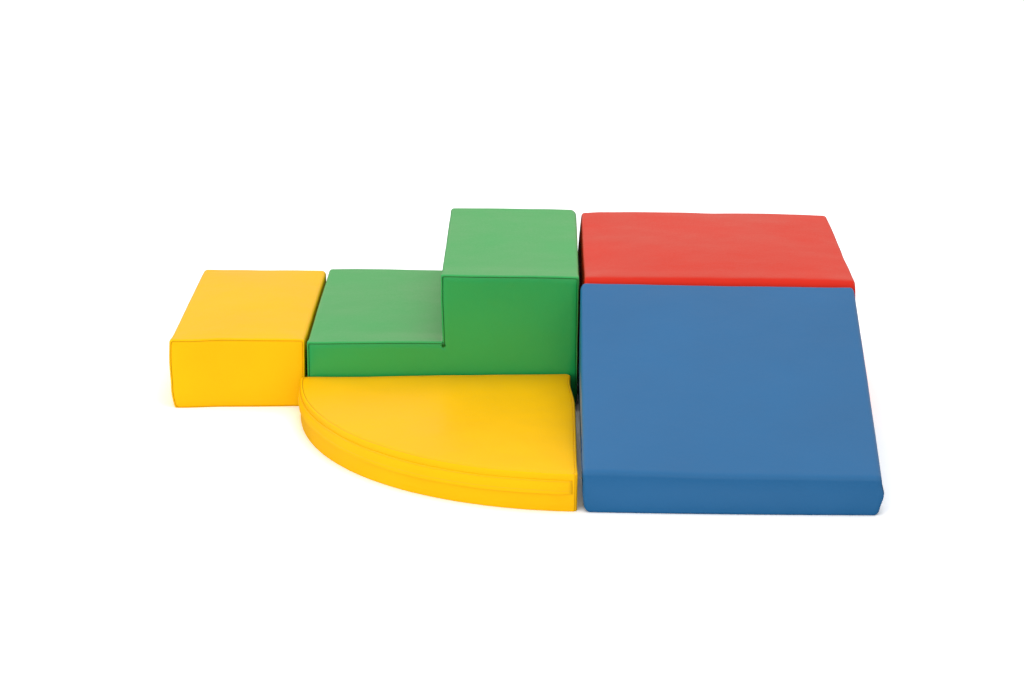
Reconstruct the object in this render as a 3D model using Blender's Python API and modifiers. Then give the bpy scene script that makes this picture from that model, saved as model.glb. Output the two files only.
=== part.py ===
"""Soft play foam climber: five foam modules in sewn vinyl covers, held in a row by hook-and-loop strips.

Metres, +Z up. The origin lies on the floor under the middle of the climber. +X runs from the low end block to the
platform, and +Y from the ramp to the platform. Each module is modelled from its own front left floor corner, the
quarter-round mat from its square corner, and an empty carries it to its place.

A module starts as one closed block with rounded edges and softly swollen faces. Its faces are shared out among the
panels of the cover, with a narrow row left free for each seam. Every panel is that share of the block made into a
sheet, and the foam core is the whole block drawn in by the sheet and its fit.
"""

import math

import bmesh
import bpy
from mathutils import Vector

# Module sizes: widths along X, depths along Y, heights along Z
PLATFORM_WIDTH = 0.600
PLATFORM_DEPTH = 0.595
PLATFORM_HEIGHT = 0.308
RAMP_WIDTH = PLATFORM_WIDTH
RAMP_DEPTH = 0.600
RAMP_BACK_HEIGHT = 0.303
RAMP_FRONT_HEIGHT = 0.079
STEPS_WIDTH = 0.606
STEPS_DEPTH = 0.605
STEPS_HEIGHT = 0.308
LOW_TREAD_WIDTH = 0.304
LOW_TREAD_HEIGHT = 0.152
END_BLOCK_WIDTH = 0.298
END_BLOCK_DEPTH = 0.590
END_BLOCK_HEIGHT = 0.153
MAT_RADIUS = 0.611
MAT_HEIGHT = 0.080

# Places: how far a module stands off the line of its neighbour
RAMP_OFFSET = -0.002
END_BLOCK_OFFSET = 0.004
MAT_TO_RAMP_GAP = 0.012

# Hook-and-loop strips between the modules
HOOK_THICKNESS = 0.0026
LOOP_THICKNESS = 0.0030
STRIP_FIT = 0.0003
STRIP_HEIGHT = 0.030
STRIP_LENGTH = 0.300
STRIP_CORNER_RADIUS = 0.006
HIGH_STRIP_LEVEL = 0.230
LOW_STRIP_LEVEL = 0.100
MAT_STRIP_LEVEL = 0.042
MODULE_GAP = HOOK_THICKNESS + LOOP_THICKNESS + 3 * STRIP_FIT

# Cover
COVER_THICKNESS = 0.0012
COVER_FIT = 0.0003
SEAM_GAP = 0.0010
SEAM_RADIUS = 0.007
MAT_SEAM_RADIUS = 0.0045
FOLD_RADIUS = 0.014
CREASE_RADIUS = 0.006
BASE_RADIUS = 0.009
MAT_CORNER_RADIUS = 0.012
MAT_SEAM_FROM_TIP = 0.013

# Softness: how far the foam swells its cover beyond the flat faces
PLATFORM_CROWN = 0.007
RAMP_CROWN = 0.006
STEPS_CROWN = 0.005
END_BLOCK_CROWN = 0.004
MAT_CROWN = 0.007
MAT_CORNER_LIFT = 0.007
SIDE_SWELL = 0.006
MAT_SIDE_SWELL = 0.003
EDGE_SWELL_SHARE = 0.55
EVEN_HUMP_SHARE = 0.25
ROUND_HUMP_SHARE = 0.125
CORNER_LIFT_POWER = 3

# Zips: a slit low in one side of each module
ZIP_LEVEL = 0.051
MAT_ZIP_LEVEL = 0.048
ZIP_SLIT_HEIGHT = 0.014
ZIP_END_MARGIN = 0.040
CHAIN_WIDTH = 0.0050
CHAIN_RISE = 0.0012
SLIDER_LENGTH = 0.013
SLIDER_WIDTH = 0.0090
SLIDER_PLATE = 0.0008
SLIDER_FIT = 0.0004
FLAP_THICKNESS = 0.0012
FLAP_ABOVE = 0.012
FLAP_BELOW = 0.004
FLAP_END_MARGIN = 0.011
FLAP_FIT = 0.0003
FLAP_RUNNING_GAP = 0.0008

# Fineness
ARC_STEPS = 3
RIM_STEPS = 2
MAT_ARC_STEPS = 24
FACE_STEPS = 4
TREAD_STEPS = 2
SIDE_STEPS = 3
MAT_SLICE_SHARES = (0.08, 0.24, 0.42, 0.60, 0.80)
RAMP_LAYER_SHARES = (0.5,)

# Panel numbers that the block's faces carry while it is cut
WRAP, LOW_PANEL, HIGH_PANEL, BASE, SEAM, SLIT, STRAIGHT_SIDE = range(7)

X_AXIS = Vector((1.0, 0.0, 0.0))
Y_AXIS = Vector((0.0, 1.0, 0.0))
Z_AXIS = Vector((0.0, 0.0, 1.0))
FLAT_NORMAL_SHARE = 0.99999
MERGE = 0.00001

YELLOW = (0.98, 0.58, 0.02)
GREEN = (0.04, 0.36, 0.08)
RED = (0.66, 0.03, 0.03)
BLUE = (0.03, 0.14, 0.36)


# Scene
def empty_scene():
    for old in list(bpy.data.objects):
        bpy.data.objects.remove(old)


def make_collection(name):
    collection = bpy.data.collections.new(name)
    bpy.context.scene.collection.children.link(collection)
    return collection


def make_material(name, colour, roughness, metallic=0.0):
    material = bpy.data.materials.new(name)
    material.use_nodes = True
    shader = material.node_tree.nodes["Principled BSDF"]
    shader.inputs["Base Color"].default_value = (*colour, 1.0)
    shader.inputs["Roughness"].default_value = roughness
    shader.inputs["Metallic"].default_value = metallic
    material.diffuse_color = (*colour, 1.0)
    return material


def make_module(name, parent, place):
    """Empty that carries every piece of one module."""
    module = bpy.data.objects.new(name, None)
    PIECES.objects.link(module)
    module.parent = parent
    module.location = place
    return module


def add_piece(name, bm, module, material):
    mesh = bpy.data.meshes.new(name)
    bm.to_mesh(mesh)
    bm.free()
    mesh.materials.clear()
    mesh.materials.append(material)
    for polygon in mesh.polygons:
        polygon.material_index = 0
    mesh.shade_smooth()
    mesh.set_sharp_from_angle(angle=math.radians(40.0))
    piece = bpy.data.objects.new(name, mesh)
    PIECES.objects.link(piece)
    piece.parent = module
    return piece


# Outlines and blocks
def rounded_outline(corners, steps=ARC_STEPS):
    """Points of a closed outline, with an arc of the given radius at each (u, v, radius) corner."""
    points = []
    for index, (u, v, radius) in enumerate(corners):
        corner = Vector((u, v))
        if not radius:
            points.append(corner)
            continue
        before = (Vector(corners[index - 1][:2]) - corner).normalized()
        after = (Vector(corners[(index + 1) % len(corners)][:2]) - corner).normalized()
        half_angle = before.angle(after) / 2
        centre = corner + (before + after).normalized() * radius / math.sin(half_angle)
        first = corner + before * radius / math.tan(half_angle) - centre
        last = corner + after * radius / math.tan(half_angle) - centre
        turn = first.angle_signed(last)
        for step in range(steps + 1):
            angle = -turn * step / steps
            rotated = (
                first.x * math.cos(angle) - first.y * math.sin(angle),
                first.x * math.sin(angle) + first.y * math.cos(angle),
            )
            points.append(centre + Vector(rotated))
    return points


def outline_place(axis, point, level):
    """Place of an outline point: the outline lies across the axis, at a level along it."""
    if axis is X_AXIS:
        return Vector((level, point[0], point[1]))
    if axis is Y_AXIS:
        return Vector((point[0], level, point[1]))
    return Vector((point[0], point[1], level))


def extruded(outline, axis, low, high):
    """Closed block: an outline across the axis, drawn out from low to high along it."""
    bm = bmesh.new()
    corners = [bm.verts.new(outline_place(axis, point, low)) for point in outline]
    face = bm.faces.new(corners)
    drawn = bmesh.ops.extrude_face_region(bm, geom=[face])["geom"]
    moved = [part for part in drawn if isinstance(part, bmesh.types.BMVert)]
    bmesh.ops.translate(bm, verts=moved, vec=axis * (high - low))
    bmesh.ops.recalc_face_normals(bm, faces=bm.faces)
    return bm


def slice_at(bm, place, normal):
    geometry = list(bm.verts) + list(bm.edges) + list(bm.faces)
    bmesh.ops.bisect_plane(bm, geom=geometry, dist=MERGE, plane_co=place, plane_no=normal)


def slice_faces_at(bm, faces, place, normal):
    edges = {edge for face in faces for edge in face.edges}
    verts = {vert for face in faces for vert in face.verts}
    geometry = list(verts) + list(edges) + list(faces)
    bmesh.ops.bisect_plane(bm, geom=geometry, dist=MERGE, plane_co=place, plane_no=normal)


def free_seam(bm, faces):
    """Leave a narrow row free for the seam round these faces."""
    ring = bmesh.ops.inset_region(bm, faces=faces, thickness=SEAM_GAP, use_even_offset=True)["faces"]
    for face in ring:
        face.material_index = SEAM


def sewn_block(outline, axis, low, high, seam_radius):
    """Block with a panel at each end of the axis, a strip wrapped round it and a base, and their seam rows."""
    bm = extruded(outline, axis, low, high)
    for face in bm.faces:
        face.material_index = WRAP
        if face.normal.dot(axis) < -FLAT_NORMAL_SHARE:
            face.material_index = LOW_PANEL
        elif face.normal.dot(axis) > FLAT_NORMAL_SHARE:
            face.material_index = HIGH_PANEL
        elif face.normal.z < -FLAT_NORMAL_SHARE:
            face.material_index = BASE
    rims = {edge for face in bm.faces if face.material_index in (LOW_PANEL, HIGH_PANEL) for edge in face.edges}
    bmesh.ops.bevel(
        bm, geom=list(rims), offset=seam_radius, segments=RIM_STEPS, profile=0.5, affect="EDGES", material=WRAP
    )
    for panel in (LOW_PANEL, HIGH_PANEL, BASE):
        faces = [face for face in bm.faces if face.material_index == panel]
        if faces:
            free_seam(bm, faces)
    return bm


def even_levels(low, high, count):
    return [low + (high - low) * step / count for step in range(count + 1)]


def zip_band(level=ZIP_LEVEL):
    return level - ZIP_SLIT_HEIGHT / 2, level + ZIP_SLIT_HEIGHT / 2


def fields(start, end, count):
    """Even cuts across a length, from its end margins inward."""
    return even_levels(start + ZIP_END_MARGIN, end - ZIP_END_MARGIN, count)


def slice_block(bm, x_levels, y_levels, z_levels):
    """Cut a block's faces into fields, so that they can swell."""
    for axis, levels in ((X_AXIS, x_levels), (Y_AXIS, y_levels), (Z_AXIS, z_levels)):
        for level in levels:
            slice_at(bm, axis * level, axis)


def open_slit(bm, along, outward, length):
    """Share out the slit of the zip on the flat side that faces outward."""
    low, high = zip_band()
    slit = []
    for face in bm.faces:
        centre = face.calc_center_median()
        inside = ZIP_END_MARGIN < centre.dot(along) < length - ZIP_END_MARGIN
        if face.normal.dot(outward) > FLAT_NORMAL_SHARE and inside and low < centre.z < high:
            slit.append(face)
    for face in slit:
        face.material_index = SLIT
    free_seam(bm, slit)


# Softness
def rest_of(share):
    """What a share leaves of the whole."""
    return 1.0 - share


def hump(share):
    """0 at both ends of a length and 1 in its middle."""
    share = min(max(share, 0.0), 1.0)
    return share * rest_of(share) / EVEN_HUMP_SHARE


def side_hump(level, top):
    """Swelling of a side over its height: none up to the zip, where the foam stands square."""
    zip_top = zip_band()[1]
    return hump((level - zip_top) / (top - zip_top))


def swell_sides(point, width, depth, top, swells):
    """Outward swelling of a box's four sides; swells are those of the left, right, front and back."""
    left, right, front, back = swells
    across = point.x / width
    deep = point.y / depth
    rise = side_hump(point.z, top)
    along_x = EDGE_SWELL_SHARE + rest_of(EDGE_SWELL_SHARE) * hump(across)
    along_y = EDGE_SWELL_SHARE + rest_of(EDGE_SWELL_SHARE) * hump(deep)
    return Vector((
        (right * across - left * rest_of(across)) * rise * along_y,
        (back * deep - front * rest_of(deep)) * rise * along_x,
        0.0,
    ))


def swell_block(bm, soften):
    for vert in bm.verts:
        vert.co += soften(vert.co)
    bm.normal_update()


def join_flat_fields(bm, flat_sides):
    """Join the fields of each side that has stayed flat into one face for each panel there."""
    for outward in flat_sides:
        for panel in (WRAP, LOW_PANEL, HIGH_PANEL, BASE):
            joined = [
                face for face in bm.faces
                if face.material_index == panel and face.normal.dot(outward) > FLAT_NORMAL_SHARE
            ]
            if joined:
                bmesh.ops.dissolve_faces(bm, faces=joined)


def platform_softness(point):
    crown = PLATFORM_CROWN * hump(point.x / PLATFORM_WIDTH) * hump(point.y / PLATFORM_DEPTH)
    lift = Z_AXIS * crown * point.z / PLATFORM_HEIGHT
    swells = (0.0, SIDE_SWELL, 0.0, 0.0)
    return lift + swell_sides(point, PLATFORM_WIDTH, PLATFORM_DEPTH, PLATFORM_HEIGHT, swells)


def ramp_height(depth_place):
    return RAMP_FRONT_HEIGHT + (RAMP_BACK_HEIGHT - RAMP_FRONT_HEIGHT) * depth_place / RAMP_DEPTH


def ramp_softness(point):
    top = ramp_height(point.y)
    crown = RAMP_CROWN * hump(point.x / RAMP_WIDTH) * hump(point.y / RAMP_DEPTH)
    lift = Z_AXIS * crown * point.z / top
    swells = (0.0, SIDE_SWELL * top / RAMP_BACK_HEIGHT, 0.0, 0.0)
    return lift + swell_sides(point, RAMP_WIDTH, RAMP_DEPTH, top, swells)


def steps_softness(point):
    if point.x < LOW_TREAD_WIDTH:
        tread, top = point.x / LOW_TREAD_WIDTH, LOW_TREAD_HEIGHT
    else:
        tread, top = (point.x - LOW_TREAD_WIDTH) / (STEPS_WIDTH - LOW_TREAD_WIDTH), STEPS_HEIGHT
    crown = STEPS_CROWN * hump(tread) * hump(point.y / STEPS_DEPTH)
    return Z_AXIS * crown * min(point.z / top, 1.0)


def end_block_softness(point):
    crown = END_BLOCK_CROWN * hump(point.x / END_BLOCK_WIDTH) * hump(point.y / END_BLOCK_DEPTH)
    lift = Z_AXIS * crown * point.z / END_BLOCK_HEIGHT
    swells = (MAT_SIDE_SWELL, 0.0, MAT_SIDE_SWELL, 0.0)
    return lift + swell_sides(point, END_BLOCK_WIDTH, END_BLOCK_DEPTH, END_BLOCK_HEIGHT, swells)


def mat_softness(point):
    left = min(max(-point.x / MAT_RADIUS, 0.0), 1.0)
    front = min(max(-point.y / MAT_RADIUS, 0.0), 1.0)
    inside = max(rest_of(left * left + front * front), 0.0)
    crown = MAT_CROWN * left * front * inside / ROUND_HUMP_SHARE
    corner = MAT_CORNER_LIFT * (rest_of(left) * rest_of(front)) ** CORNER_LIFT_POWER
    side = MAT_SIDE_SWELL * side_hump(point.z, MAT_HEIGHT) * hump(front) * rest_of(left)
    return Vector((side, 0.0, (crown + corner) * point.z / MAT_HEIGHT))


# Cover panels and cores
def add_panel(name, block, panels, module, material):
    """One sheet of the cover: the block's faces that carry these panel numbers."""
    bm = block.copy()
    others = [face for face in bm.faces if face.material_index not in panels]
    bmesh.ops.delete(bm, geom=others, context="FACES")
    piece = add_piece(name, bm, module, material)
    sheet = piece.modifiers.new("sheet", "SOLIDIFY")
    sheet.thickness = COVER_THICKNESS
    sheet.offset = -1.0
    sheet.use_even_offset = True
    return piece


def add_core(name, block, module):
    """Foam core: the whole block drawn in by the cover and its fit."""
    bm = block.copy()
    depth = COVER_THICKNESS + COVER_FIT
    inset = [(vert, vert.normal * depth * vert.calc_shell_factor()) for vert in bm.verts]
    for vert, shift in inset:
        vert.co -= shift
    return add_piece(name, bm, module, FOAM)


# Zips
def straight_path(outward, distance):
    """Places along a zip in a flat side: along the side, outward from it, and up."""
    along = Y_AXIS if outward is X_AXIS else X_AXIS

    def place(point):
        return along * point.x + outward * (distance + point.y) + Z_AXIS * point.z

    return place


def arc_path(radius):
    """Places along a zip in a round side about the module's own corner."""

    def place(point):
        angle = point.x / radius
        reach = radius + point.y
        return Vector((-reach * math.cos(angle), -reach * math.sin(angle), point.z))

    return place


def swept(section, start, end, cuts, path):
    """Closed piece: a section given as outward and up, drawn along a zip's path and jointed at the cuts."""
    bm = extruded(section, X_AXIS, start, end)
    for cut in cuts:
        slice_at(bm, X_AXIS * cut, X_AXIS)
    for vert in bm.verts:
        vert.co = path(vert.co)
    bmesh.ops.recalc_face_normals(bm, faces=bm.faces)
    return bm


def zip_section(level):
    """Tape that fills the slit, with the chain's raised bead along its middle."""
    tape = ZIP_SLIT_HEIGHT / 2 - SEAM_GAP
    bead = CHAIN_WIDTH / 2
    return [
        Vector((-COVER_THICKNESS, level - tape)),
        Vector((0.0, level - tape)),
        Vector((0.0, level - bead)),
        Vector((CHAIN_RISE, level - bead / 2)),
        Vector((CHAIN_RISE, level + bead / 2)),
        Vector((0.0, level + bead)),
        Vector((0.0, level + tape)),
        Vector((-COVER_THICKNESS, level + tape)),
    ]


def slider_section(level):
    """Channel that straddles the chain with a running fit."""
    lip = SLIDER_WIDTH / 2
    bead = CHAIN_WIDTH / 2 + SLIDER_FIT
    roof = CHAIN_RISE + SLIDER_FIT
    top = roof + SLIDER_PLATE
    edge = SLIDER_FIT + SLIDER_PLATE
    return [
        Vector((SLIDER_FIT, level - lip)),
        Vector((edge, level - lip)),
        Vector((top, level - bead)),
        Vector((top, level + bead)),
        Vector((edge, level + lip)),
        Vector((SLIDER_FIT, level + lip)),
        Vector((SLIDER_FIT, level + bead)),
        Vector((roof, level + bead / 2)),
        Vector((roof, level - bead / 2)),
        Vector((SLIDER_FIT, level - bead)),
    ]


def flap_section(level):
    """Strip that lies on the cover above the slit, then stands off to clear the slider."""
    low, high = zip_band(level)
    inner = CHAIN_RISE + SLIDER_FIT + SLIDER_PLATE + FLAP_RUNNING_GAP
    outer = inner + FLAP_THICKNESS
    slope = inner - FLAP_FIT
    return [
        Vector((FLAP_FIT, high + FLAP_ABOVE)),
        Vector((FLAP_FIT, high + slope)),
        Vector((inner, high)),
        Vector((inner, low - FLAP_BELOW)),
        Vector((outer, low - FLAP_BELOW)),
        Vector((outer, high)),
        Vector((FLAP_FIT + FLAP_THICKNESS, high + slope + FLAP_THICKNESS)),
        Vector((FLAP_FIT + FLAP_THICKNESS / 2, high + FLAP_ABOVE)),
    ]


def add_zip(name, module, material, path, length, level, cuts, soften):
    """Zip, flap and slider along one side; the flap follows the swelling of the cover that it lies on."""
    start = ZIP_END_MARGIN + SEAM_GAP
    end = length - ZIP_END_MARGIN - SEAM_GAP
    add_piece(name + "_zip", swept(zip_section(level), start, end, cuts, path), module, material)
    flap = swept(flap_section(level), FLAP_END_MARGIN, length - FLAP_END_MARGIN, cuts, path)
    swell_block(flap, soften)
    add_piece(name + "_zip_flap", flap, module, material)
    slider = swept(slider_section(level), start, start + SLIDER_LENGTH, [], path)
    add_piece(name + "_zip_slider", slider, module, METAL)


# Modules
def add_cover(name, block, module, panels, material):
    """Core, cover panels and base of a module; panels maps a piece's name to its panel numbers."""
    add_core(name + "_core", block, module)
    for panel, numbers in panels.items():
        add_panel(name + "_" + panel, block, numbers, module, material)
    add_panel(name + "_base", block, [BASE], module, NON_SLIP)
    block.free()


def build_platform(module):
    outline = rounded_outline([
        (0.0, 0.0, BASE_RADIUS),
        (0.0, PLATFORM_HEIGHT, FOLD_RADIUS),
        (PLATFORM_DEPTH, PLATFORM_HEIGHT, FOLD_RADIUS),
        (PLATFORM_DEPTH, 0.0, BASE_RADIUS),
    ])
    block = sewn_block(outline, X_AXIS, 0.0, PLATFORM_WIDTH, SEAM_RADIUS)
    layers = even_levels(zip_band()[1], PLATFORM_HEIGHT, SIDE_STEPS)[1:-1]
    x_levels = fields(0.0, PLATFORM_WIDTH, FACE_STEPS)
    slice_block(block, x_levels, fields(0.0, PLATFORM_DEPTH, FACE_STEPS), [*zip_band(), *layers])
    open_slit(block, X_AXIS, Y_AXIS, PLATFORM_WIDTH)
    swell_block(block, platform_softness)
    join_flat_fields(block, (-X_AXIS, -Y_AXIS, -Z_AXIS))
    panels = {"wrap": [WRAP], "left_panel": [LOW_PANEL], "right_panel": [HIGH_PANEL]}
    add_cover("platform", block, module, panels, RED_VINYL)
    path = straight_path(Y_AXIS, PLATFORM_DEPTH)
    add_zip("platform", module, RED_VINYL, path, PLATFORM_WIDTH, ZIP_LEVEL, [], platform_softness)


def build_ramp(module):
    outline = rounded_outline([
        (0.0, 0.0, BASE_RADIUS),
        (0.0, RAMP_FRONT_HEIGHT, FOLD_RADIUS),
        (RAMP_DEPTH, RAMP_BACK_HEIGHT, FOLD_RADIUS),
        (RAMP_DEPTH, 0.0, BASE_RADIUS),
    ])
    block = sewn_block(outline, X_AXIS, 0.0, RAMP_WIDTH, SEAM_RADIUS)
    slice_block(block, fields(0.0, RAMP_WIDTH, FACE_STEPS), fields(0.0, RAMP_DEPTH, FACE_STEPS), zip_band())
    zip_top = zip_band()[1]
    for share in RAMP_LAYER_SHARES:
        front = zip_top + (RAMP_FRONT_HEIGHT - zip_top) * share
        back = zip_top + (RAMP_BACK_HEIGHT - zip_top) * share
        slice_at(block, Z_AXIS * front, Vector((0.0, front - back, RAMP_DEPTH)).normalized())
    open_slit(block, Y_AXIS, X_AXIS, RAMP_DEPTH)
    swell_block(block, ramp_softness)
    join_flat_fields(block, (-X_AXIS, Y_AXIS, -Z_AXIS))
    panels = {"wrap": [WRAP], "left_panel": [LOW_PANEL], "right_panel": [HIGH_PANEL]}
    add_cover("ramp", block, module, panels, BLUE_VINYL)
    path = straight_path(X_AXIS, RAMP_WIDTH)
    add_zip("ramp", module, BLUE_VINYL, path, RAMP_DEPTH, ZIP_LEVEL, fields(0.0, RAMP_DEPTH, FACE_STEPS), ramp_softness)


def build_steps(module):
    outline = rounded_outline([
        (0.0, 0.0, BASE_RADIUS),
        (0.0, LOW_TREAD_HEIGHT, FOLD_RADIUS),
        (LOW_TREAD_WIDTH, LOW_TREAD_HEIGHT, CREASE_RADIUS),
        (LOW_TREAD_WIDTH, STEPS_HEIGHT, FOLD_RADIUS),
        (STEPS_WIDTH, STEPS_HEIGHT, FOLD_RADIUS),
        (STEPS_WIDTH, 0.0, BASE_RADIUS),
    ])
    block = sewn_block(outline, Y_AXIS, 0.0, STEPS_DEPTH, SEAM_RADIUS)
    low_layer = (zip_band()[1] + LOW_TREAD_HEIGHT) / 2
    high_layer = (LOW_TREAD_HEIGHT + STEPS_HEIGHT) / 2
    low_fields = fields(0.0, LOW_TREAD_WIDTH, TREAD_STEPS)
    high_fields = fields(LOW_TREAD_WIDTH, STEPS_WIDTH, TREAD_STEPS)
    z_levels = [*zip_band(), low_layer, high_layer]
    slice_block(block, low_fields + high_fields, fields(0.0, STEPS_DEPTH, FACE_STEPS), z_levels)
    open_slit(block, X_AXIS, Y_AXIS, STEPS_WIDTH)
    swell_block(block, steps_softness)
    join_flat_fields(block, (-X_AXIS, X_AXIS, -Y_AXIS, -Z_AXIS))
    panels = {"wrap": [WRAP], "front_panel": [LOW_PANEL], "back_panel": [HIGH_PANEL]}
    add_cover("steps", block, module, panels, GREEN_VINYL)
    path = straight_path(Y_AXIS, STEPS_DEPTH)
    add_zip("steps", module, GREEN_VINYL, path, STEPS_WIDTH, ZIP_LEVEL, [], steps_softness)


def build_end_block(module):
    outline = rounded_outline([
        (0.0, 0.0, BASE_RADIUS),
        (0.0, END_BLOCK_HEIGHT, FOLD_RADIUS),
        (END_BLOCK_WIDTH, END_BLOCK_HEIGHT, FOLD_RADIUS),
        (END_BLOCK_WIDTH, 0.0, BASE_RADIUS),
    ])
    block = sewn_block(outline, Y_AXIS, 0.0, END_BLOCK_DEPTH, SEAM_RADIUS)
    layer = (zip_band()[1] + END_BLOCK_HEIGHT) / 2
    x_levels = fields(0.0, END_BLOCK_WIDTH, TREAD_STEPS)
    slice_block(block, x_levels, fields(0.0, END_BLOCK_DEPTH, FACE_STEPS), [*zip_band(), layer])
    open_slit(block, X_AXIS, Y_AXIS, END_BLOCK_WIDTH)
    swell_block(block, end_block_softness)
    join_flat_fields(block, (X_AXIS, -Z_AXIS))
    panels = {"wrap": [WRAP], "front_panel": [LOW_PANEL], "back_panel": [HIGH_PANEL]}
    add_cover("end_block", block, module, panels, YELLOW_VINYL)
    path = straight_path(Y_AXIS, END_BLOCK_DEPTH)
    add_zip("end_block", module, YELLOW_VINYL, path, END_BLOCK_WIDTH, ZIP_LEVEL, [], end_block_softness)


def arc_angles():
    return [math.pi / 2 * step / MAT_ARC_STEPS for step in range(MAT_ARC_STEPS + 1)]


def mat_outline():
    """Quarter disc with its square corner at the origin, from the left tip round the arc to the front tip."""
    corners = []
    for angle in arc_angles():
        radius = MAT_CORNER_RADIUS if angle in (arc_angles()[0], arc_angles()[-1]) else 0.0
        corners.append((-MAT_RADIUS * math.cos(angle), -MAT_RADIUS * math.sin(angle), radius))
    corners.append((0.0, 0.0, MAT_CORNER_RADIUS))
    return rounded_outline(corners)


def faces_near_side(bm, outward):
    """Faces of the mat's straight side that faces outward, with those of its rounded rims."""
    near = -MAT_CORNER_RADIUS / 2
    return [face for face in bm.faces if face.material_index == WRAP and face.calc_center_median().dot(outward) > near]


def share_mat_sides(bm):
    """The two straight sides are one strip of the cover, the round side another, sewn together near the tips."""
    seam = MAT_SEAM_FROM_TIP - MAT_RADIUS
    places = [seam, seam + SEAM_GAP] + [-MAT_RADIUS * share for share in MAT_SLICE_SHARES]
    for outward, along in ((X_AXIS, Y_AXIS), (Y_AXIS, X_AXIS)):
        for place in places:
            slice_faces_at(bm, faces_near_side(bm, outward), along * place, along)
    for face in bm.faces:
        if face.material_index != WRAP:
            continue
        centre = face.calc_center_median()
        reach = min(centre.x, centre.y)
        if max(centre.x, centre.y) < -MAT_CORNER_RADIUS or reach < seam:
            continue
        face.material_index = STRAIGHT_SIDE if reach > seam + SEAM_GAP else SEAM


def slice_mat_top(bm):
    for share in MAT_SLICE_SHARES:
        for axis in (X_AXIS, Y_AXIS):
            top = [face for face in bm.faces if face.normal.z > FLAT_NORMAL_SHARE]
            slice_faces_at(bm, top, axis * -MAT_RADIUS * share, axis)


def open_arc_slit(bm):
    """Share out the slit of the zip on the round side."""
    low, high = zip_band(MAT_ZIP_LEVEL)
    margin = ZIP_END_MARGIN / MAT_RADIUS
    slit = []
    for face in bm.faces:
        centre = face.calc_center_median()
        angle = math.atan2(-centre.y, -centre.x)
        upright = abs(face.normal.z) < rest_of(FLAT_NORMAL_SHARE)
        if face.material_index == WRAP and upright and low < centre.z < high and margin < angle < math.pi / 2 - margin:
            slit.append(face)
    for face in slit:
        face.material_index = SLIT
    free_seam(bm, slit)


def build_mat(module):
    block = sewn_block(mat_outline(), Z_AXIS, 0.0, MAT_HEIGHT, MAT_SEAM_RADIUS)
    slice_mat_top(block)
    for level in zip_band(MAT_ZIP_LEVEL):
        slice_at(block, Z_AXIS * level, Z_AXIS)
    share_mat_sides(block)
    open_arc_slit(block)
    swell_block(block, mat_softness)
    add_core("mat_core", block, module)
    add_panel("mat_top", block, [HIGH_PANEL], module, YELLOW_VINYL)
    add_panel("mat_arc_band", block, [WRAP], module, YELLOW_VINYL)
    add_panel("mat_side_band", block, [STRAIGHT_SIDE], module, YELLOW_VINYL)
    add_panel("mat_base", block, [LOW_PANEL], module, NON_SLIP)
    block.free()
    cuts = [MAT_RADIUS * angle for angle in arc_angles()]
    add_zip("mat", module, YELLOW_VINYL, arc_path(MAT_RADIUS), cuts[-1], MAT_ZIP_LEVEL, cuts[1:-1], mat_softness)


# Hook-and-loop strips
def add_strip(name, module, axis, side, middle, level, thickness, material):
    """Flat strip with rounded corners on a flat side across the axis; side is -1 on a low side and 1 on a high one."""
    face, direction = side
    half_length = STRIP_LENGTH / 2
    half_height = STRIP_HEIGHT / 2
    outline = rounded_outline([
        (middle - half_length, level - half_height, STRIP_CORNER_RADIUS),
        (middle - half_length, level + half_height, STRIP_CORNER_RADIUS),
        (middle + half_length, level + half_height, STRIP_CORNER_RADIUS),
        (middle + half_length, level - half_height, STRIP_CORNER_RADIUS),
    ])
    near = face + direction * STRIP_FIT
    far = near + direction * thickness
    return add_piece(name, extruded(outline, axis, near, far), module, material)


def add_pair(hook, loop, axis, level):
    """A hook strip and the loop strip that it meets across the gap between two modules."""
    name, module, side, middle = hook
    add_strip(name, module, axis, side, middle, level, HOOK_THICKNESS, HOOK_TAPE)
    name, module, side, middle = loop
    add_strip(name, module, axis, side, middle, level, LOOP_THICKNESS, LOOP_TAPE)


def build_strips():
    """Each pair fills the gap between two modules, with the strips at the same place on both."""
    depth_middle = PLATFORM_DEPTH / 2
    width_middle = PLATFORM_WIDTH / 2
    add_pair(
        ("platform_hook_strip_left", platform, (0.0, -1), depth_middle),
        ("steps_loop_strip_right", steps, (STEPS_WIDTH, 1), depth_middle - steps.location.y),
        X_AXIS, HIGH_STRIP_LEVEL,
    )
    add_pair(
        ("platform_hook_strip_front", platform, (0.0, -1), width_middle),
        ("ramp_loop_strip_back", ramp, (RAMP_DEPTH, 1), width_middle - ramp.location.x),
        Y_AXIS, HIGH_STRIP_LEVEL,
    )
    add_pair(
        ("steps_hook_strip_left", steps, (0.0, -1), depth_middle - steps.location.y),
        ("end_block_loop_strip_right", end_block, (END_BLOCK_WIDTH, 1), depth_middle - end_block.location.y),
        X_AXIS, LOW_STRIP_LEVEL,
    )
    mat_middle = mat.location.x - MAT_RADIUS / 2
    add_pair(
        ("steps_hook_strip_front", steps, (0.0, -1), mat_middle - steps.location.x),
        ("mat_loop_strip_back", mat, (0.0, 1), mat_middle - mat.location.x),
        Y_AXIS, MAT_STRIP_LEVEL,
    )


empty_scene()
PIECES = make_collection("soft_play_climber")
FOAM = make_material("foam", (0.85, 0.78, 0.58), 0.95)
NON_SLIP = make_material("non_slip_base", (0.03, 0.03, 0.03), 0.8)
METAL = make_material("zip_metal", (0.5, 0.5, 0.5), 0.35, 1.0)
RED_VINYL = make_material("red_vinyl", RED, 0.4)
BLUE_VINYL = make_material("blue_vinyl", BLUE, 0.4)
GREEN_VINYL = make_material("green_vinyl", GREEN, 0.4)
YELLOW_VINYL = make_material("yellow_vinyl", YELLOW, 0.4)

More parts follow.
